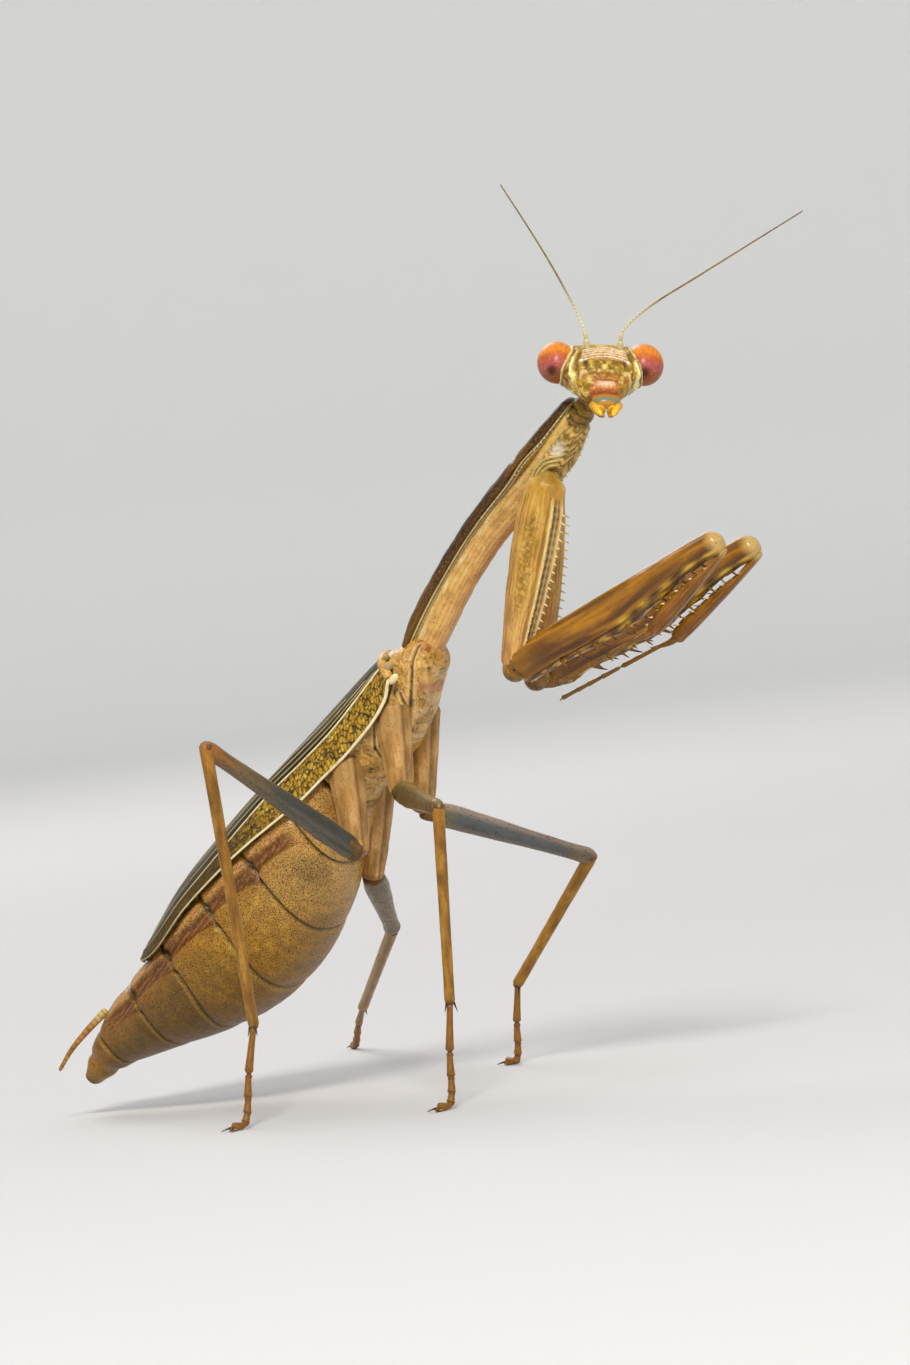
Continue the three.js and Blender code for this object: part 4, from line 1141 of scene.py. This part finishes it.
def wing(side, word):
    shape = blank()
    made = bmesh.ops.create_grid(shape, x_segments=460, y_segments=100, size=1.0)["verts"]
    lay, paint, _ = note_layers(shape)
    for vert in made:
        t, k = (vert.co.x + 1) / 2, (vert.co.y + 1) / 2
        place = WING_START + (WING_END - WING_START) * t
        inner, outer, main, _ = smooth_read(WING_ROWS, place)
        low = k < 0.45
        share = k / 0.45 if low else (k - 0.45) / 0.55
        angle = outer + (main - outer) * share if low else main + (inner - main) * share
        near = noise.voronoi(Vector((place * 3.5 + k * 9, k * 13 if low else k * 9, 3.0)))[0]
        line = bump(near[1] - near[0], 0, 0.17) if low else 0.0
        fold = 0.0 if low else 0.5 + 0.5 * cos(2 * pi * 7 * share)
        lift = (0.045 * line if low else 0.03 * fold) - 0.06
        vert.co = wing_point(side, place, angle, lift)
        vert[lay] = (place, k * 6, 0)
        shade = 0.75 * step(place, 11, 19) if low else 1.0
        vert[paint] = (line + (0.0 if low else 0.5 * (1 - fold) ** 2), shade, 0.3 * fold ** 10)
    for face in shape.faces:
        face.smooth = True
    bmesh.ops.recalc_face_normals(shape, faces=shape.faces)
    outward = sum(face.normal.dot(BACK_UP) for face in shape.faces)
    if outward < 0:
        bmesh.ops.reverse_faces(shape, faces=shape.faces)
    bmesh.ops.solidify(shape, geom=shape.faces, thickness=0.16)
    vein(shape, side, 0.45, 28.0, lambda t: 0.0, 0.075, 1, lambda t: (0, 0.8 * step(t, 0.4, 1.0), 0), 200)
    vein(shape, side, 0.45, 28.0, lambda t: -1.0, 0.12, 1, lambda t: (0, 0.8 * step(t, 0.5, 1.0), 0), 200)
    for start, end, first, last in ((1.0, 27.6, 0.07, 0.2), (2.0, 26.8, 0.16, 0.45), (4.0, 25.5, 0.3, 0.7)):
        vein(shape, side, start, end, lambda t, a=first, b=last: a + (b - a) * t, 0.04, 1, (0, 0.6, 0))
    def root(t):
        return wing_point(side, 0.5, 4 + 84 * t, -0.2)
    tube(shape, root, lambda t: 0.34 * capped(t, 0.1, 0.1), 50, 18, 2, hint=BACKWARDS)
    for place, angle, size, dim in ((0.35, 0, 0.3, 0.0), (0.1, 20, 0.3, 0.8), (0.15, 44, 0.24, 1.0)):
        spot = wing_point(side, place, angle, -0.2)
        ball(shape, spot, (size * 1.5, size, size * 0.9), (BACKWARDS, LEFT, BACK_UP), 1, 3, (0, dim, 0))
    finished(f"wing_skin_{word}", shape, [WING_SKIN, VEIN_SKIN, THORAX_SKIN], "wing", f"forewing_{word}")


trunk_skin(
    "abdomen_skin", (SEAMS[0] - 0.1, TAIL_END), (0.5, 0.35), (380, 210), abdomen_relief, BELLY_SKIN, "belly",
    [f"abdomen_{i}" for i in range(1, len(SEAMS))] + ["abdomen_tail"])
trunk_skin(
    "thorax_skin", (-2.5, SEAMS[0] + 0.15), (0.8, 0.3), (230, 230), thorax_relief, THORAX_SKIN, "shell",
    ["mesothorax", "metathorax"])
for tail_side, tail_word in SIDES:
    cercus(tail_side, tail_word)
    wing(tail_side, tail_word)


# ---------------------------------------------------------------- pronotum, prosternum and neck
RAIL_FALL = -38  # degrees below its side where the dark shield meets its pale margin
ROOT_FOLDS = (0.85, 1.1, 1.35)  # how far each fold lies from the leg's root


def pronotum_look(place, angle):
    """The shield: dark, with a keel along the top, a pale double margin and a cross groove."""
    fall = degrees(asin(sin(angle)))
    rail = RAIL_FALL + 16 * bump(place, 0.76, 0.06)
    rails = bump(fall, rail, 5) + 0.85 * bump(fall, rail - 15, 5)
    furrow = bump(fall, rail + 8, 4) + 0.8 * bump(fall, rail - 8, 4)
    keel = turned(angle, pi / 2, 0.13)
    cross = bump(place, 0.74, 0.012) * step(fall, 10, 30)
    front = step(place, 0.72, 0.8)
    beads = rails * (1 - front + front * (0.4 + 0.6 * sin(place * 420)))
    lumps = cloudy(place * 16, angle * 1.6, 7.0, 4)
    streak = cloudy(place * 6, cos(angle) * 5, sin(angle) * 5, 4)
    flank = step(fall, rail - 18, rail - 24)
    grains = step(ripple(place * 150, angle * 11, 3.0), 0.15, 0.4) * step(fall, 30, -10)
    tone = layered(
        "442c10", (0.7 * step(streak, 0.05, 0.4), "80581c"), (0.8 * step(streak, -0.05, -0.4), "281606"),
        (0.5 * step(fall, 5, -20), "5c3c18"), (0.8 * grains, "b0802c"),
        (0.5 * step(place, 0.3, 0.05), "8a6424"), (0.5 * keel, "a67c48"), (0.7 * cross, "2c1a0c"),
        (flank, "cba468"), (0.5 * flank * step(lumps, 0.05, 0.5), "e6cc98"),
        (0.85 * furrow, "3a2410"), (0.95 * rails, "f0dcae"),
    )
    return 0.1 * keel + 0.08 * beads - 0.06 * furrow - 0.09 * cross + 0.05 * lumps, tone


def prosternum_look(place, angle):
    """The chest below the shield: smooth behind, closely folded and spotted in front, with painted highlights
    and painted shade on the folds.
    """
    front = step(place, 0.66, 0.78)
    around, up = cos(angle), sin(angle)
    drift = cloudy(place * 8, angle * 1.5, 2.0, 3)
    fold = sin(place * 210 + 7.0 * around ** 2 + 9 * drift)
    slant = sin(place * 90 + angle * 9 + 6 * drift)
    long_fold = sin(angle * 23 + 4.0 * ripple(place * 5, angle * 0.6, 5.0))
    lumps = cloudy(place * 20, angle * 1.9, 3.0, 4)
    # Painted shade: the dark lines in the creases of the folds.
    crease = front * max(step(fold, 0.45, 0.9), 0.8 * step(slant, 0.6, 0.95))
    lines = (1 - front) * step(long_fold, 0.5, 0.98)
    # Painted highlight: the pale crests of the folds.
    pale = front * step(fold, -0.45, -0.9)
    patch = bump(place, 0.875, 0.024) * step(up, -0.7, -0.45) * step(up, 0.0, -0.2)
    moss = front * step(ripple(place * 14, angle * 1.4, 8.0), 0.0, 0.3)
    blush = step(up, -0.5, -0.9) * (1 - front)
    tone = layered(
        "e0b480", (0.6 * front, "bd9a48"), (0.5 * step(lumps, 0.05, 0.5), "eecf9c"),
        (0.45 * step(lumps, -0.05, -0.5), "9c7840"), (0.6 * moss, "806c28"), (0.4 * pale, "efdcaa"),
        (0.75 * crease, "4c3812"), (0.4 * lines, "84602f"), (0.5 * blush, "d8a484"), (0.8 * patch, "efe8dc"),
        (0.5 * step(up, 0.1, 0.5), "e0c490"),
    )
    return 0.04 * lumps - 0.04 * crease + 0.012 * pale - 0.015 * lines, tone


def chest_profile(name, widest):
    rear = far_end(name, node_middle("head_capsule"), 0.4)
    front = far_end(name, rear, 0.4)
    return Profile([name], rear, front, (front - rear).cross(LEFT), LIMB_PLACES, widest)


def flank(shape, shield, breast):
    """The pale side between the shield's margin and the breast."""
    def place(t, angle):
        upper, lower = shield.read(t)[0], breast.read(t)[0]
        lumps = cloudy(t * 18, angle * 1.5, 4.0, 4)
        lines = sin(angle * 24 + 4 * ripple(t * 6, angle, 2.0))
        rim = dome(t * breast.length, 0.8) * dome((1 - t) * breast.length, 0.8)
        wide = (breast.read(t)[2] * 1.07 + 0.03 * lumps + 0.008 * lines) * rim
        tall = (upper - lower).length * 0.36 * rim
        point = upper.lerp(lower, 0.5) + breast.side * wide * cos(angle)
        point += breast.up * tall * sin(angle)
        tone = layered(
            "e2c08c", (0.5 * step(lumps, 0.05, 0.5), "f6e4c0"), (0.4 * step(lines, 0.3, 1.0), "a88658"),
            (0.4 * step(lumps, -0.05, -0.5), "bc946c"), (0.4 * step(t, 0.7, 0.85), "d2b060"))
        return point, (t * 20, angle, 0), BARE, tone
    wrapped(shape, 200, 64, place)


def root_folds(shape, breast, side, word):
    """Pale curved folds behind the root of a grasping leg."""
    root = far_end(f"coxa_fore_{word}", far_end(f"coxa_fore_{word}", node_middle("prosternum")))
    tree = BVHTree.FromBMesh(shape)
    centre = root - breast.along * 0.9
    for reach in ROOT_FOLDS:
        spots = []
        for i in range(12):
            turn = radians(20 + 14 * i)
            spot = centre + breast.along * reach * 1.25 * cos(turn) + breast.up * reach * sin(turn)
            outside = Vector((spot.x, breast.start.y + side * 9, spot.z))
            hit = tree.ray_cast(outside, LEFT * -side)[0]
            spots.append(hit or Vector((spot.x, breast.start.y + side * 0.9, spot.z)))
        tube(shape, curve_through(spots), lambda t: 0.12 * capped(t, 0.2, 0.2), 60, 12, 0,
             hint=LEFT, tint=lambda t: layered("cdb888", (step(t, 0.5, 1.0), "84703c")))


DENTICLES = 26  # small teeth along each side of the shield's front


def plate(shape, profile, rings, sides, look, square):
    """One of the chest's two long plates; look(place, angle) gives its relief and tint."""
    def place(t, angle):
        grow, tone = look(t, angle)
        rim = dome(t * profile.length, 0.4) * dome((1 - t) * profile.length, 0.5)
        return profile.point(t, angle, grow, square, rim), (t * profile.length, angle, 0), BARE, tone
    wrapped(shape, rings, sides, place)


def tooth(shape, profile, place, turn, lift, radius):
    """A small blunt tooth; turn is its angle round the plate in degrees."""
    root = profile.point(place, radians(turn), lift)
    out = (root - profile.read(place)[0]).normalized()
    cone(shape, root, root + out * 0.2, radius, 7, 1, 0.4)


def chest():
    shield, breast = chest_profile("pronotum", 0.65), chest_profile("prosternum", 0.13)
    shape = blank()
    plate(shape, shield, 360, 140, pronotum_look, 0.9)
    for i in range(DENTICLES):
        for fall in (RAIL_FALL, 180 - RAIL_FALL):
            tooth(shape, shield, 0.52 + 0.44 * i / DENTICLES, fall, 0.0, 0.08)
    finished("pronotum_skin", shape, [PRONOTUM_SKIN, PALE_HORN], "pronotum", "pronotum")

    shape = blank()
    plate(shape, breast, 380, 110, prosternum_look, 0.92)
    flank(shape, shield, breast)
    for side, word in SIDES:
        root_folds(shape, breast, side, word)
    for i in range(9):
        tooth(shape, breast, 0.78 + 0.022 * i, -98, -0.03, 0.07)
    finished("chest_skin", shape, [CHEST_SKIN, PALE_HORN], "shell", "prosternum")


def neck():
    shape = blank()
    rear = far_end("neck", node_middle("head_capsule"), 0.3)
    front = far_end("neck", rear, 0.3)
    way = (front - rear).normalized()
    route = curve_through([rear - way * 0.9, rear.lerp(front, 0.5), front + way * 0.75])

    def place(t, angle):
        fold = sin(t * 44 + 1.5 * sin(angle * 2) + ripple(t * 6, angle, 0) * 2)
        wide = (0.92 - 0.14 * t) + 0.05 * fold
        rim = capped(t, 0.06, 0.06)
        across = way.cross(LEFT).normalized()
        point = route(t) + (LEFT * cos(angle) + across * sin(angle) * 0.9) * wide * rim
        # The third share is painted shade in the troughs of the folds.
        return point, (t * 4, angle, 0), (0, 0, 0.6 * step(fold, -0.2, -0.9))
    wrapped(shape, 90, 64, place)
    finished("neck_skin", shape, [NECK_SKIN], "neck", "neck")


# ---------------------------------------------------------------- head
CROWN, CHIN = 1.6, -3.3  # above and below the head's middle
EYE_SPREAD, EYE_HEIGHT = 2.85, 0.4
EYE_SIZE = Vector((1.3, 1.3, 1.5))
FACE_MIDDLE, MOUTH_MIDDLE = 0.15, 0.2  # the face is drawn a little to the animal's left
# Rows are [height, half width, front depth, back depth].
SKULL_ROWS = [
    [CHIN, 0.9, 0.7, 0.5], [-2.3, 1.7, 1.1, 1.0], [-1.0, 2.75, 1.4, 1.5], [0.4, 3.1, 1.3, 1.6],
    [1.2, 2.6, 1.0, 1.3], [CROWN, 1.7, 0.5, 0.7],
]


class Head:
    """The head's own axes: out of the face, to its left and up to the crown."""

    def __init__(self):
        left_eye, right_eye = node_middle("eye_left"), node_middle("eye_right")
        between = (left_eye + right_eye) / 2
        self.left = (left_eye - right_eye).normalized()
        up = between - node_middle("mouthparts") + self.left * MOUTH_MIDDLE
        self.up = (up - self.left * up.dot(self.left)).normalized()
        self.front = self.left.cross(self.up)
        self.up = self.front.cross(self.left)
        self.centre = between - self.up * EYE_HEIGHT

    def at(self, out, left, up):
        return self.centre + self.front * out + self.left * left + self.up * up



def disc(y, z, centre, radius, soft=0.35):
    """A round patch with a soft edge."""
    return step(hypot(y - centre[0], z - centre[1]), radius, radius * (1 - soft))


def bar(y, z, line, width):
    gap = line_gap(y, z, line)
    return step(gap, width, width * 0.45)


def face_look(out, y, z, freckle):
    """Relief and tint at a place on the head."""
    y -= FACE_MIDDLE
    side, ahead = abs(y), step(out, 0.1, 0.5)
    fine = noise.noise(Vector((out, y, z)) * 6.5)
    inner = step(side, 1.62, 1.35)
    band = step(z, -1.0, -0.8) * step(z, 0.75, 0.4) * inner
    arcs = [z - level + 0.13 * side ** 2 + 0.05 * fine for level in (0.45, 0.22, -0.02, -0.28, -0.55)]
    ridge = max(bump(gap, 0, 0.05) for gap in arcs) * band
    furrow = max(bump(gap, 0.12, 0.05) for gap in arcs) * band
    shield = step(z, -2.15, -1.98) * step(z, -0.85, -1.0) * step(side, 1.42, 1.28)
    shield_edge = shield * (1 - step(side, 1.3, 1.12) * step(z, -2.02, -1.85))
    blot = disc(side, z, (0.62, -1.2), 0.36, 0.8) + disc(side, z, (0.95, -1.75), 0.3, 0.8)
    corner = disc(side, z, (1.3, -1.05), 0.24, 0.5)
    pale_spot = disc(y, z, (-0.05, -1.5), 0.27, 0.7) + disc(side, z, (0.42, -1.85), 0.2, 0.8)
    pearl = disc(side, z, (1.52, -0.9), 0.14)
    lobe = disc(side, z, (1.45, -1.95), 0.42, 0.6)
    lobe_core = disc(side, z, (1.32, -2.15), 0.26, 0.7)
    hook = bar(side, z, ((2.02, -0.6), (2.22, -1.1), (2.25, -1.5), (2.0, -1.95)), 0.13)
    upper_hook = bar(side, z, ((1.72, 0.2), (1.9, -0.2), (2.02, -0.6)), 0.12)
    hook_shade = bar(side, z, ((1.5, 0.1), (1.78, -0.6), (1.93, -1.36), (1.72, -1.95)), 0.13)
    amber = bump(z, -2.2, 0.3) * step(side, 1.25, 0.8)
    plate_wide = 0.72 + 0.28 * step(z, -2.5, -3.2)
    plate = step(z, -2.46, -2.62) * step(side, plate_wide + 0.14, plate_wide - 0.08)
    plate_line = bump(z, -2.48, 0.07) * step(side, 1.0, 0.8)
    cheek = step(side, 2.1, 2.5) * step(z, -0.3, -0.9)
    crown = step(z, 0.7, 1.1)
    dust = step(freckle + 0.4 * fine, 0.08, 0.4)
    soil = step(freckle + 0.4 * fine, -0.05, -0.4)
    tone = layered(
        "b8902e", (0.65 * dust, "ecdc94"), (0.65 * soil, "6c5014"),
        (0.6 * crown, "c9b070"), (0.6 * crown * soil, "6c5020"),
        (0.9 * cheek, "a0682a"), (0.7 * cheek * dust, "e0b868"), (0.8 * cheek * soil, "54340f"),
        (0.8 * band, "d0a080"), (0.5 * band * soil, "9c6c4c"), (0.85 * ridge, "f6ead0"),
        (0.75 * furrow, "84503c"),
        (0.85 * shield, "9c7a20"), (0.7 * shield * dust, "e0c458"), (0.6 * shield * soil, "5c460c"),
        (0.8 * shield_edge, "5c430e"), (0.75 * blot * ahead, "5c430c"), (0.85 * corner, "38240a"),
        (0.8 * pale_spot, "f2e09a"), (0.8 * amber, "b87418"), (0.6 * amber * soil, "6c3c0c"),
        (0.85 * lobe, "e8cfa0"), (0.8 * lobe_core, "a8601c"), (0.7 * hook_shade, "6c4412"),
        (0.7 * upper_hook, "dccb84"), (hook, "f8f0b8"), (0.9 * pearl, "fffaea"),
        (plate * ahead, "cc8058"), (0.5 * plate * dust, "f0c090"), (0.5 * plate * soil, "9c4c38"),
        # Painted highlight: a pale band across the middle of the clypeus.
        (0.8 * plate * bump(z, -2.8, 0.18) * step(side, 0.7, 0.2), "f6d6bd"),
        (0.8 * plate * step(z, -3.0, -3.25), "963c34"), (0.8 * plate_line, "5c2a14"),
    )
    lift = (0.06 * ridge - 0.05 * furrow + 0.07 * shield - 0.08 * shield_edge + 0.09 * pearl + 0.15 * lobe
            + 0.05 * lobe_core + 0.12 * hook + 0.06 * upper_hook - 0.08 * hook_shade + 0.1 * plate
            - 0.06 * plate_line - 0.06 * amber - 0.05 * corner - 0.03 * blot)
    return lift * ahead + 0.05 * freckle + 0.025 * fine, tone


def head_skin(head):
    shape = blank()
    eyes = [Vector((0, side * EYE_SPREAD, EYE_HEIGHT)) for side, _ in SIDES]

    def place(t, angle):
        k = rounded(t)
        z = CHIN + (CROWN - CHIN) * k
        wide, front, back = smooth_read(SKULL_ROWS, z)
        deep = front if sin(angle) > 0 else back
        rim = dome(z - CHIN, 0.3) * dome(CROWN - z, 0.5)
        out = deep * signed_power(sin(angle), 0.8) * rim
        y = wide * signed_power(cos(angle), 0.9) * rim
        freckle = noise.fractal(Vector((out, y, z)) * 2.6, 1.0, 2.0, 4)
        grow, tone = face_look(out, y, z, freckle)
        spot = Vector((out, y, z))
        for eye in eyes:
            gap = Vector([(spot - eye)[i] / EYE_SIZE[i] for i in range(3)]).length
            grow += 0.09 * bump(gap, 1.1, 0.07)
            tone = over(tone, 0.75 * bump(gap, 1.1, 0.06), "f0dfb4")
            tone = over(tone, 0.8 * bump(gap, 1.19, 0.04), "3c240e")
        away = Vector((out / max(0.3, deep) ** 2, y / wide ** 2, 0.12 * (z + 0.6)))
        spot += away.normalized() * grow if away.length > 1e-6 else Vector()
        return head.at(*spot), tuple(spot), BARE, tone

    wrapped(shape, 170, 270, place)
    for side, _ in SIDES:
        for y, z, size in ((side * 0.45 + FACE_MIDDLE, 0.62, 0.12), (FACE_MIDDLE, 0.38, 0.1)):
            ball(shape, head.at(1.12, y, z), (size, size, size), None, 1, 2)
    finished("head_skin", shape, [FACE_SKIN, OCELLUS], "shell", "head_capsule")


PUPILS = {
    "right": (((0.32, -0.31, -0.9), 0.17), ((0.28, 0.43, -0.86), 0.15)),
    "left": (((0.37, -0.06, -0.93), 0.19), ((0.42, -0.36, -0.83), 0.12)),
}


def eye(head, side, word):
    shape = blank()
    made = bmesh.ops.create_icosphere(shape, subdivisions=6, radius=1.0)["verts"]
    lay, _, tint = note_layers(shape)
    for vert in made:
        way = vert.co.normalized()
        rise = way.z + 0.35 * way.x
        speckle = noise.fractal(way * 13, 0.8, 2.0, 4)
        streak = ripple(way.y * 9, way.z * 2.2, way.x * 2.2)
        tone = layered(
            "c0604c", (step(rise, -0.15, 0.3), "ea9808"), (0.7 * step(rise, 0.75, 1.15), "d47c08"),
            (0.8 * step(rise, -0.15, -0.5), "ac5880"), (0.9 * step(rise, -0.5, -0.85), "8a5424"),
            (0.22 * step(speckle, 0.05, 0.4), "f4b050"), (0.25 * step(speckle, -0.05, -0.4), "8c3420"),
            (0.25 * step(streak, 0.1, 0.5), "7c2c40"), (0.6 * step(-way.y * side, 0.6, 0.92), "e0b070"),
        )
        for spot, size in PUPILS[word]:
            gap = (way - Vector(spot).normalized()).length
            tone = over(tone, 0.75 * step(gap, size * 2.3, size * 1.2), "6c1c34")
            tone = over(tone, step(gap, size * 1.35, size * 0.8), "0c0204")
        ridge = 1 + 0.006 * speckle
        size = Vector((way.x * EYE_SIZE.x, way.y * EYE_SIZE.y, way.z * EYE_SIZE.z)) * ridge
        vert.co = head.at(size.x, side * EYE_SPREAD + size.y, EYE_HEIGHT + size.z)
        vert[lay], vert[tint] = way * 10, tone
    cover(made, 0)
    finished(f"eye_skin_{word}", shape, [EYE_SKIN], "eye", f"eye_{word}")


# Points [out, aside, up from the chin], half the thickness and the tones of each jaw and palp.
PALPS = (
    (((-0.35, 0.7, -0.1), (0.0, 0.8, -0.62), (0.15, 0.62, -1.15), (0.15, 0.34, -1.75)),
     0.34, "dc9a20", "f6cc48"),
    (((-0.5, 0.3, -0.6), (-0.4, 0.38, -0.95), (-0.3, 0.3, -1.2), (-0.2, 0.16, -1.45)),
     0.26, "8c5010", "c07c20"),
)


def mouth(head):
    """The lip with its teal lower edge, two jaws and two pairs of palps."""
    shape = blank()

    def lip(t, angle):
        k = rounded(t)
        z = CHIN + 0.12 - 0.95 * k
        y = (0.93 - 0.28 * step(k, 0.5, 1.0)) * cos(angle) * capped(t, 0.12, 0.3)
        out = 0.18 + (0.34 + 0.1 * sin(pi * k)) * sin(angle) * capped(t, 0.12, 0.3)
        teal = bump(k, 0.72, 0.16) * step(sin(angle), 0.0, 0.4)
        tone = layered("b8783c", (0.7 * step(k, 0.3, 0.1), "9c4438"), (0.95 * teal, "2a8f8c"),
                       (0.6 * step(k, 0.85, 1.0), "d9b870"))
        return head.at(out, MOUTH_MIDDLE + y, z), (out, y, z), BARE, tone
    wrapped(shape, 60, 60, lip)
    for side, _ in SIDES:
        def jaw(t, angle, side=side):
            k = rounded(t)
            z = CHIN - 0.15 - 0.85 * k
            rim = capped(t, 0.25, 0.25)
            y = side * (0.62 - 0.2 * k) + (0.52 - 0.12 * k) * cos(angle) * rim
            out = -0.3 + 0.15 * k + 0.45 * sin(angle) * rim
            tone = layered("d9a02c", (0.7 * step(k, 0.4, 0.0), "a86a28"),
                           (0.8 * step(k, 0.75, 1.0), "f0c050"))
            return head.at(out, MOUTH_MIDDLE + y, z), (out, y, z), BARE, tone
        wrapped(shape, 30, 40, jaw)
        for points, size, first_tone, last_tone in PALPS:
            route = curve_through([head.at(out, MOUTH_MIDDLE + side * y, CHIN + z) for out, y, z in points])
            tube(shape, route, lambda t, size=size: size * (1 - 0.5 * t) * capped(t, 0.12, 0.25),
                 40, 24, 0, hint=head.front,
                 tint=lambda t, a=first_tone, b=last_tone: layered(a, (step(t, 0.3, 0.9), b)))
    finished("mouth_skin", shape, [MOUTH_SKIN], "mouth", "mouthparts")


FEELER_ROUTES = {
    "right": ((13.8, -2.2, 49.3), (12.2, -1.2, 52.1), (9.8, 0.8, 55.1), (5.6, 4.5, 59.6)),
    "left": ((16.1, -1.1, 48.7), (17.9, -0.6, 50.0), (21.0, 0.8, 51.6), (27.6, 4.0, 55.0)),
}
FEELER_LENGTHS = {"right": 14.0, "left": 14.5}
PLAN_ZERO = TRUNK_ZERO - Vector((-4.0, 0.0, 29.7))  # the plan's origin, from the start of the back


def feeler(head, side, word):
    """A thread of short beads on two stout root pieces."""
    shape = blank()
    root = head.at(1.0, side * 1.05 + FACE_MIDDLE, 0.42)
    points = [root] + [PLAN_ZERO + Vector(p) for p in FEELER_ROUTES[word]]
    route = curve_through(points)
    length = FEELER_LENGTHS[word]
    ball(shape, root, (0.3, 0.3, 0.3), None, 0, 3, (0.9, 0, 0))
    for a, b, size in ((0.0, 0.055, 0.2), (0.052, 0.085, 0.14)):
        def girth(t, size=size):
            return size * (0.85 + 0.15 * sin(pi * t)) * capped(t, 0.1, 0.12)
        tube(shape, lambda t, a=a, b=b: route(a + (b - a) * t), girth, 16, 20, 0, hint=head.front,
             paint=(0.9, 0.15, 0))
    beads = int(length * 0.915 / 0.24)

    def radius(t):
        bead = abs(sin(pi * beads * t))
        return (0.082 - 0.038 * t) * (0.8 + 0.2 * bead ** 0.5) * capped(t, 0.004, 0.006)

    def paint(t):
        bead = abs(sin(pi * beads * t))
        return step(t, 0.3, 0.02) * 0.9, 0.55 * (1 - bead) ** 2 + 0.35 * step(t, 0.5, 1.0), 0
    tube(shape, lambda t: route(0.083 + 0.917 * t), radius, beads * 6, 8, 0, hint=head.front, paint=paint)
    finished(f"feeler_skin_{word}", shape, [FEELER_SKIN], "feeler", f"antenna_{word}")


mantis_head = Head()
head_skin(mantis_head)
mouth(mantis_head)
neck()
chest()
for eye_side, eye_word in SIDES:
    eye(mantis_head, eye_side, eye_word)
    feeler(mantis_head, eye_side, eye_word)


# ---------------------------------------------------------------- studio and camera
# The reach and rise of the floor's section, from its middle to its rim, in metres.
DISH = ((0.0001, 0), (0.9, 0), (1.15, 0.05), (1.3, 0.2), (1.4, 0.5), (1.45, 1.6))


def studio():
    """A pale dish-shaped floor."""
    shape = bmesh.new()
    verts = [shape.verts.new((reach, 0, rise)) for reach, rise in DISH]
    edges = [shape.edges.new(pair) for pair in zip(verts, verts[1:])]
    bmesh.ops.spin(shape, geom=verts + edges, cent=(0, 0, 0), axis=(0, 0, 1), angle=tau, steps=96,
                   use_merge=True)
    bmesh.ops.recalc_face_normals(shape, faces=shape.faces)
    mesh = bpy.data.meshes.new("studio_floor")
    shape.to_mesh(mesh)
    shape.free()
    for polygon in mesh.polygons:
        polygon.use_smooth = True
    floor = bpy.data.objects.new("studio_floor", mesh)
    bpy.context.scene.collection.objects.link(floor)
    material = bpy.data.materials.new("pale floor")
    material.use_nodes = True
    board = Board(material.node_tree)
    shader = material.node_tree.nodes["Principled BSDF"]
    where = board.add("ShaderNodeTexCoord").outputs["Object"]
    tone = board.mix(board.noise(where, 3.0, 2.0), colour("d0cfd6"), colour("d8d7dd"))
    level = board.add("ShaderNodeVectorMath", {0: where}, operation="LENGTH").outputs["Value"]
    tone = board.mix(board.spread(level, 0.25, 1.1), tone, colour("fcfbf9"))
    board.tree.links.new(tone, shader.inputs["Base Color"])
    shader.inputs["Roughness"].default_value = 0.85
    mesh.materials.append(material)


def lamp(name, place, aim, size, power, tint):
    light = bpy.data.lights.new(name, "AREA")
    light.shape, light.size, light.energy, light.color = "DISK", size, power, tint
    source = bpy.data.objects.new(name, light)
    source.location = place
    source.rotation_euler = (Vector(aim) - Vector(place)).to_track_quat("-Z", "Y").to_euler()
    bpy.context.scene.collection.objects.link(source)


VIEW_TURN, VIEW_RISE, VIEW_ROLL = radians(28), radians(1.5), radians(7)
VIEW_DISTANCE, VIEW_LENS = 0.45, 178.0
AIM_AHEAD, AIM_DROP = 0.0070372, 0.0002066  # from the top of the metathorax, in metres


def camera():
    low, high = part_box("metathorax")
    aim = Vector(((low.x + high.x) / 2 + AIM_AHEAD, (low.y + high.y) / 2, high.z - AIM_DROP))
    back = Vector((sin(VIEW_TURN) * cos(VIEW_RISE), -cos(VIEW_TURN) * cos(VIEW_RISE),
                   sin(VIEW_RISE)))
    right = Vector((cos(VIEW_TURN), sin(VIEW_TURN), 0))
    top = back.cross(right)
    across = right * cos(VIEW_ROLL) - top * sin(VIEW_ROLL)
    upright = right * sin(VIEW_ROLL) + top * cos(VIEW_ROLL)
    lens = bpy.data.cameras.new("camera")
    lens.sensor_fit, lens.sensor_height, lens.lens = "VERTICAL", 36.0, VIEW_LENS
    lens.clip_start, lens.clip_end = 0.01, 10
    holder = bpy.data.objects.new("camera", lens)
    turn = Matrix((across, upright, back)).transposed().to_4x4()
    holder.matrix_world = Matrix.Translation(aim + back * VIEW_DISTANCE) @ turn
    bpy.context.scene.collection.objects.link(holder)
    bpy.context.scene.camera = holder
    return aim


def sky():
    world = bpy.data.worlds.new("pale sky")
    world.use_nodes = True
    glow = world.node_tree.nodes["Background"].inputs
    glow["Color"].default_value = (0.86, 0.89, 0.95, 1)
    glow["Strength"].default_value = 0.72
    bpy.context.scene.world = world
    bpy.context.scene.view_settings.view_transform = "Standard"


aim = camera()
studio()
sky()
lamp("key", (0.22, -0.42, 0.45), aim, 0.16, 2.8, (1.0, 0.96, 0.9))
lamp("fill", (0.55, -0.25, 0.18), aim, 0.35, 0.3, (0.94, 0.97, 1.0))
lamp("rim", (-0.35, 0.35, 0.4), aim, 0.3, 1.1, (1.0, 0.98, 0.95))
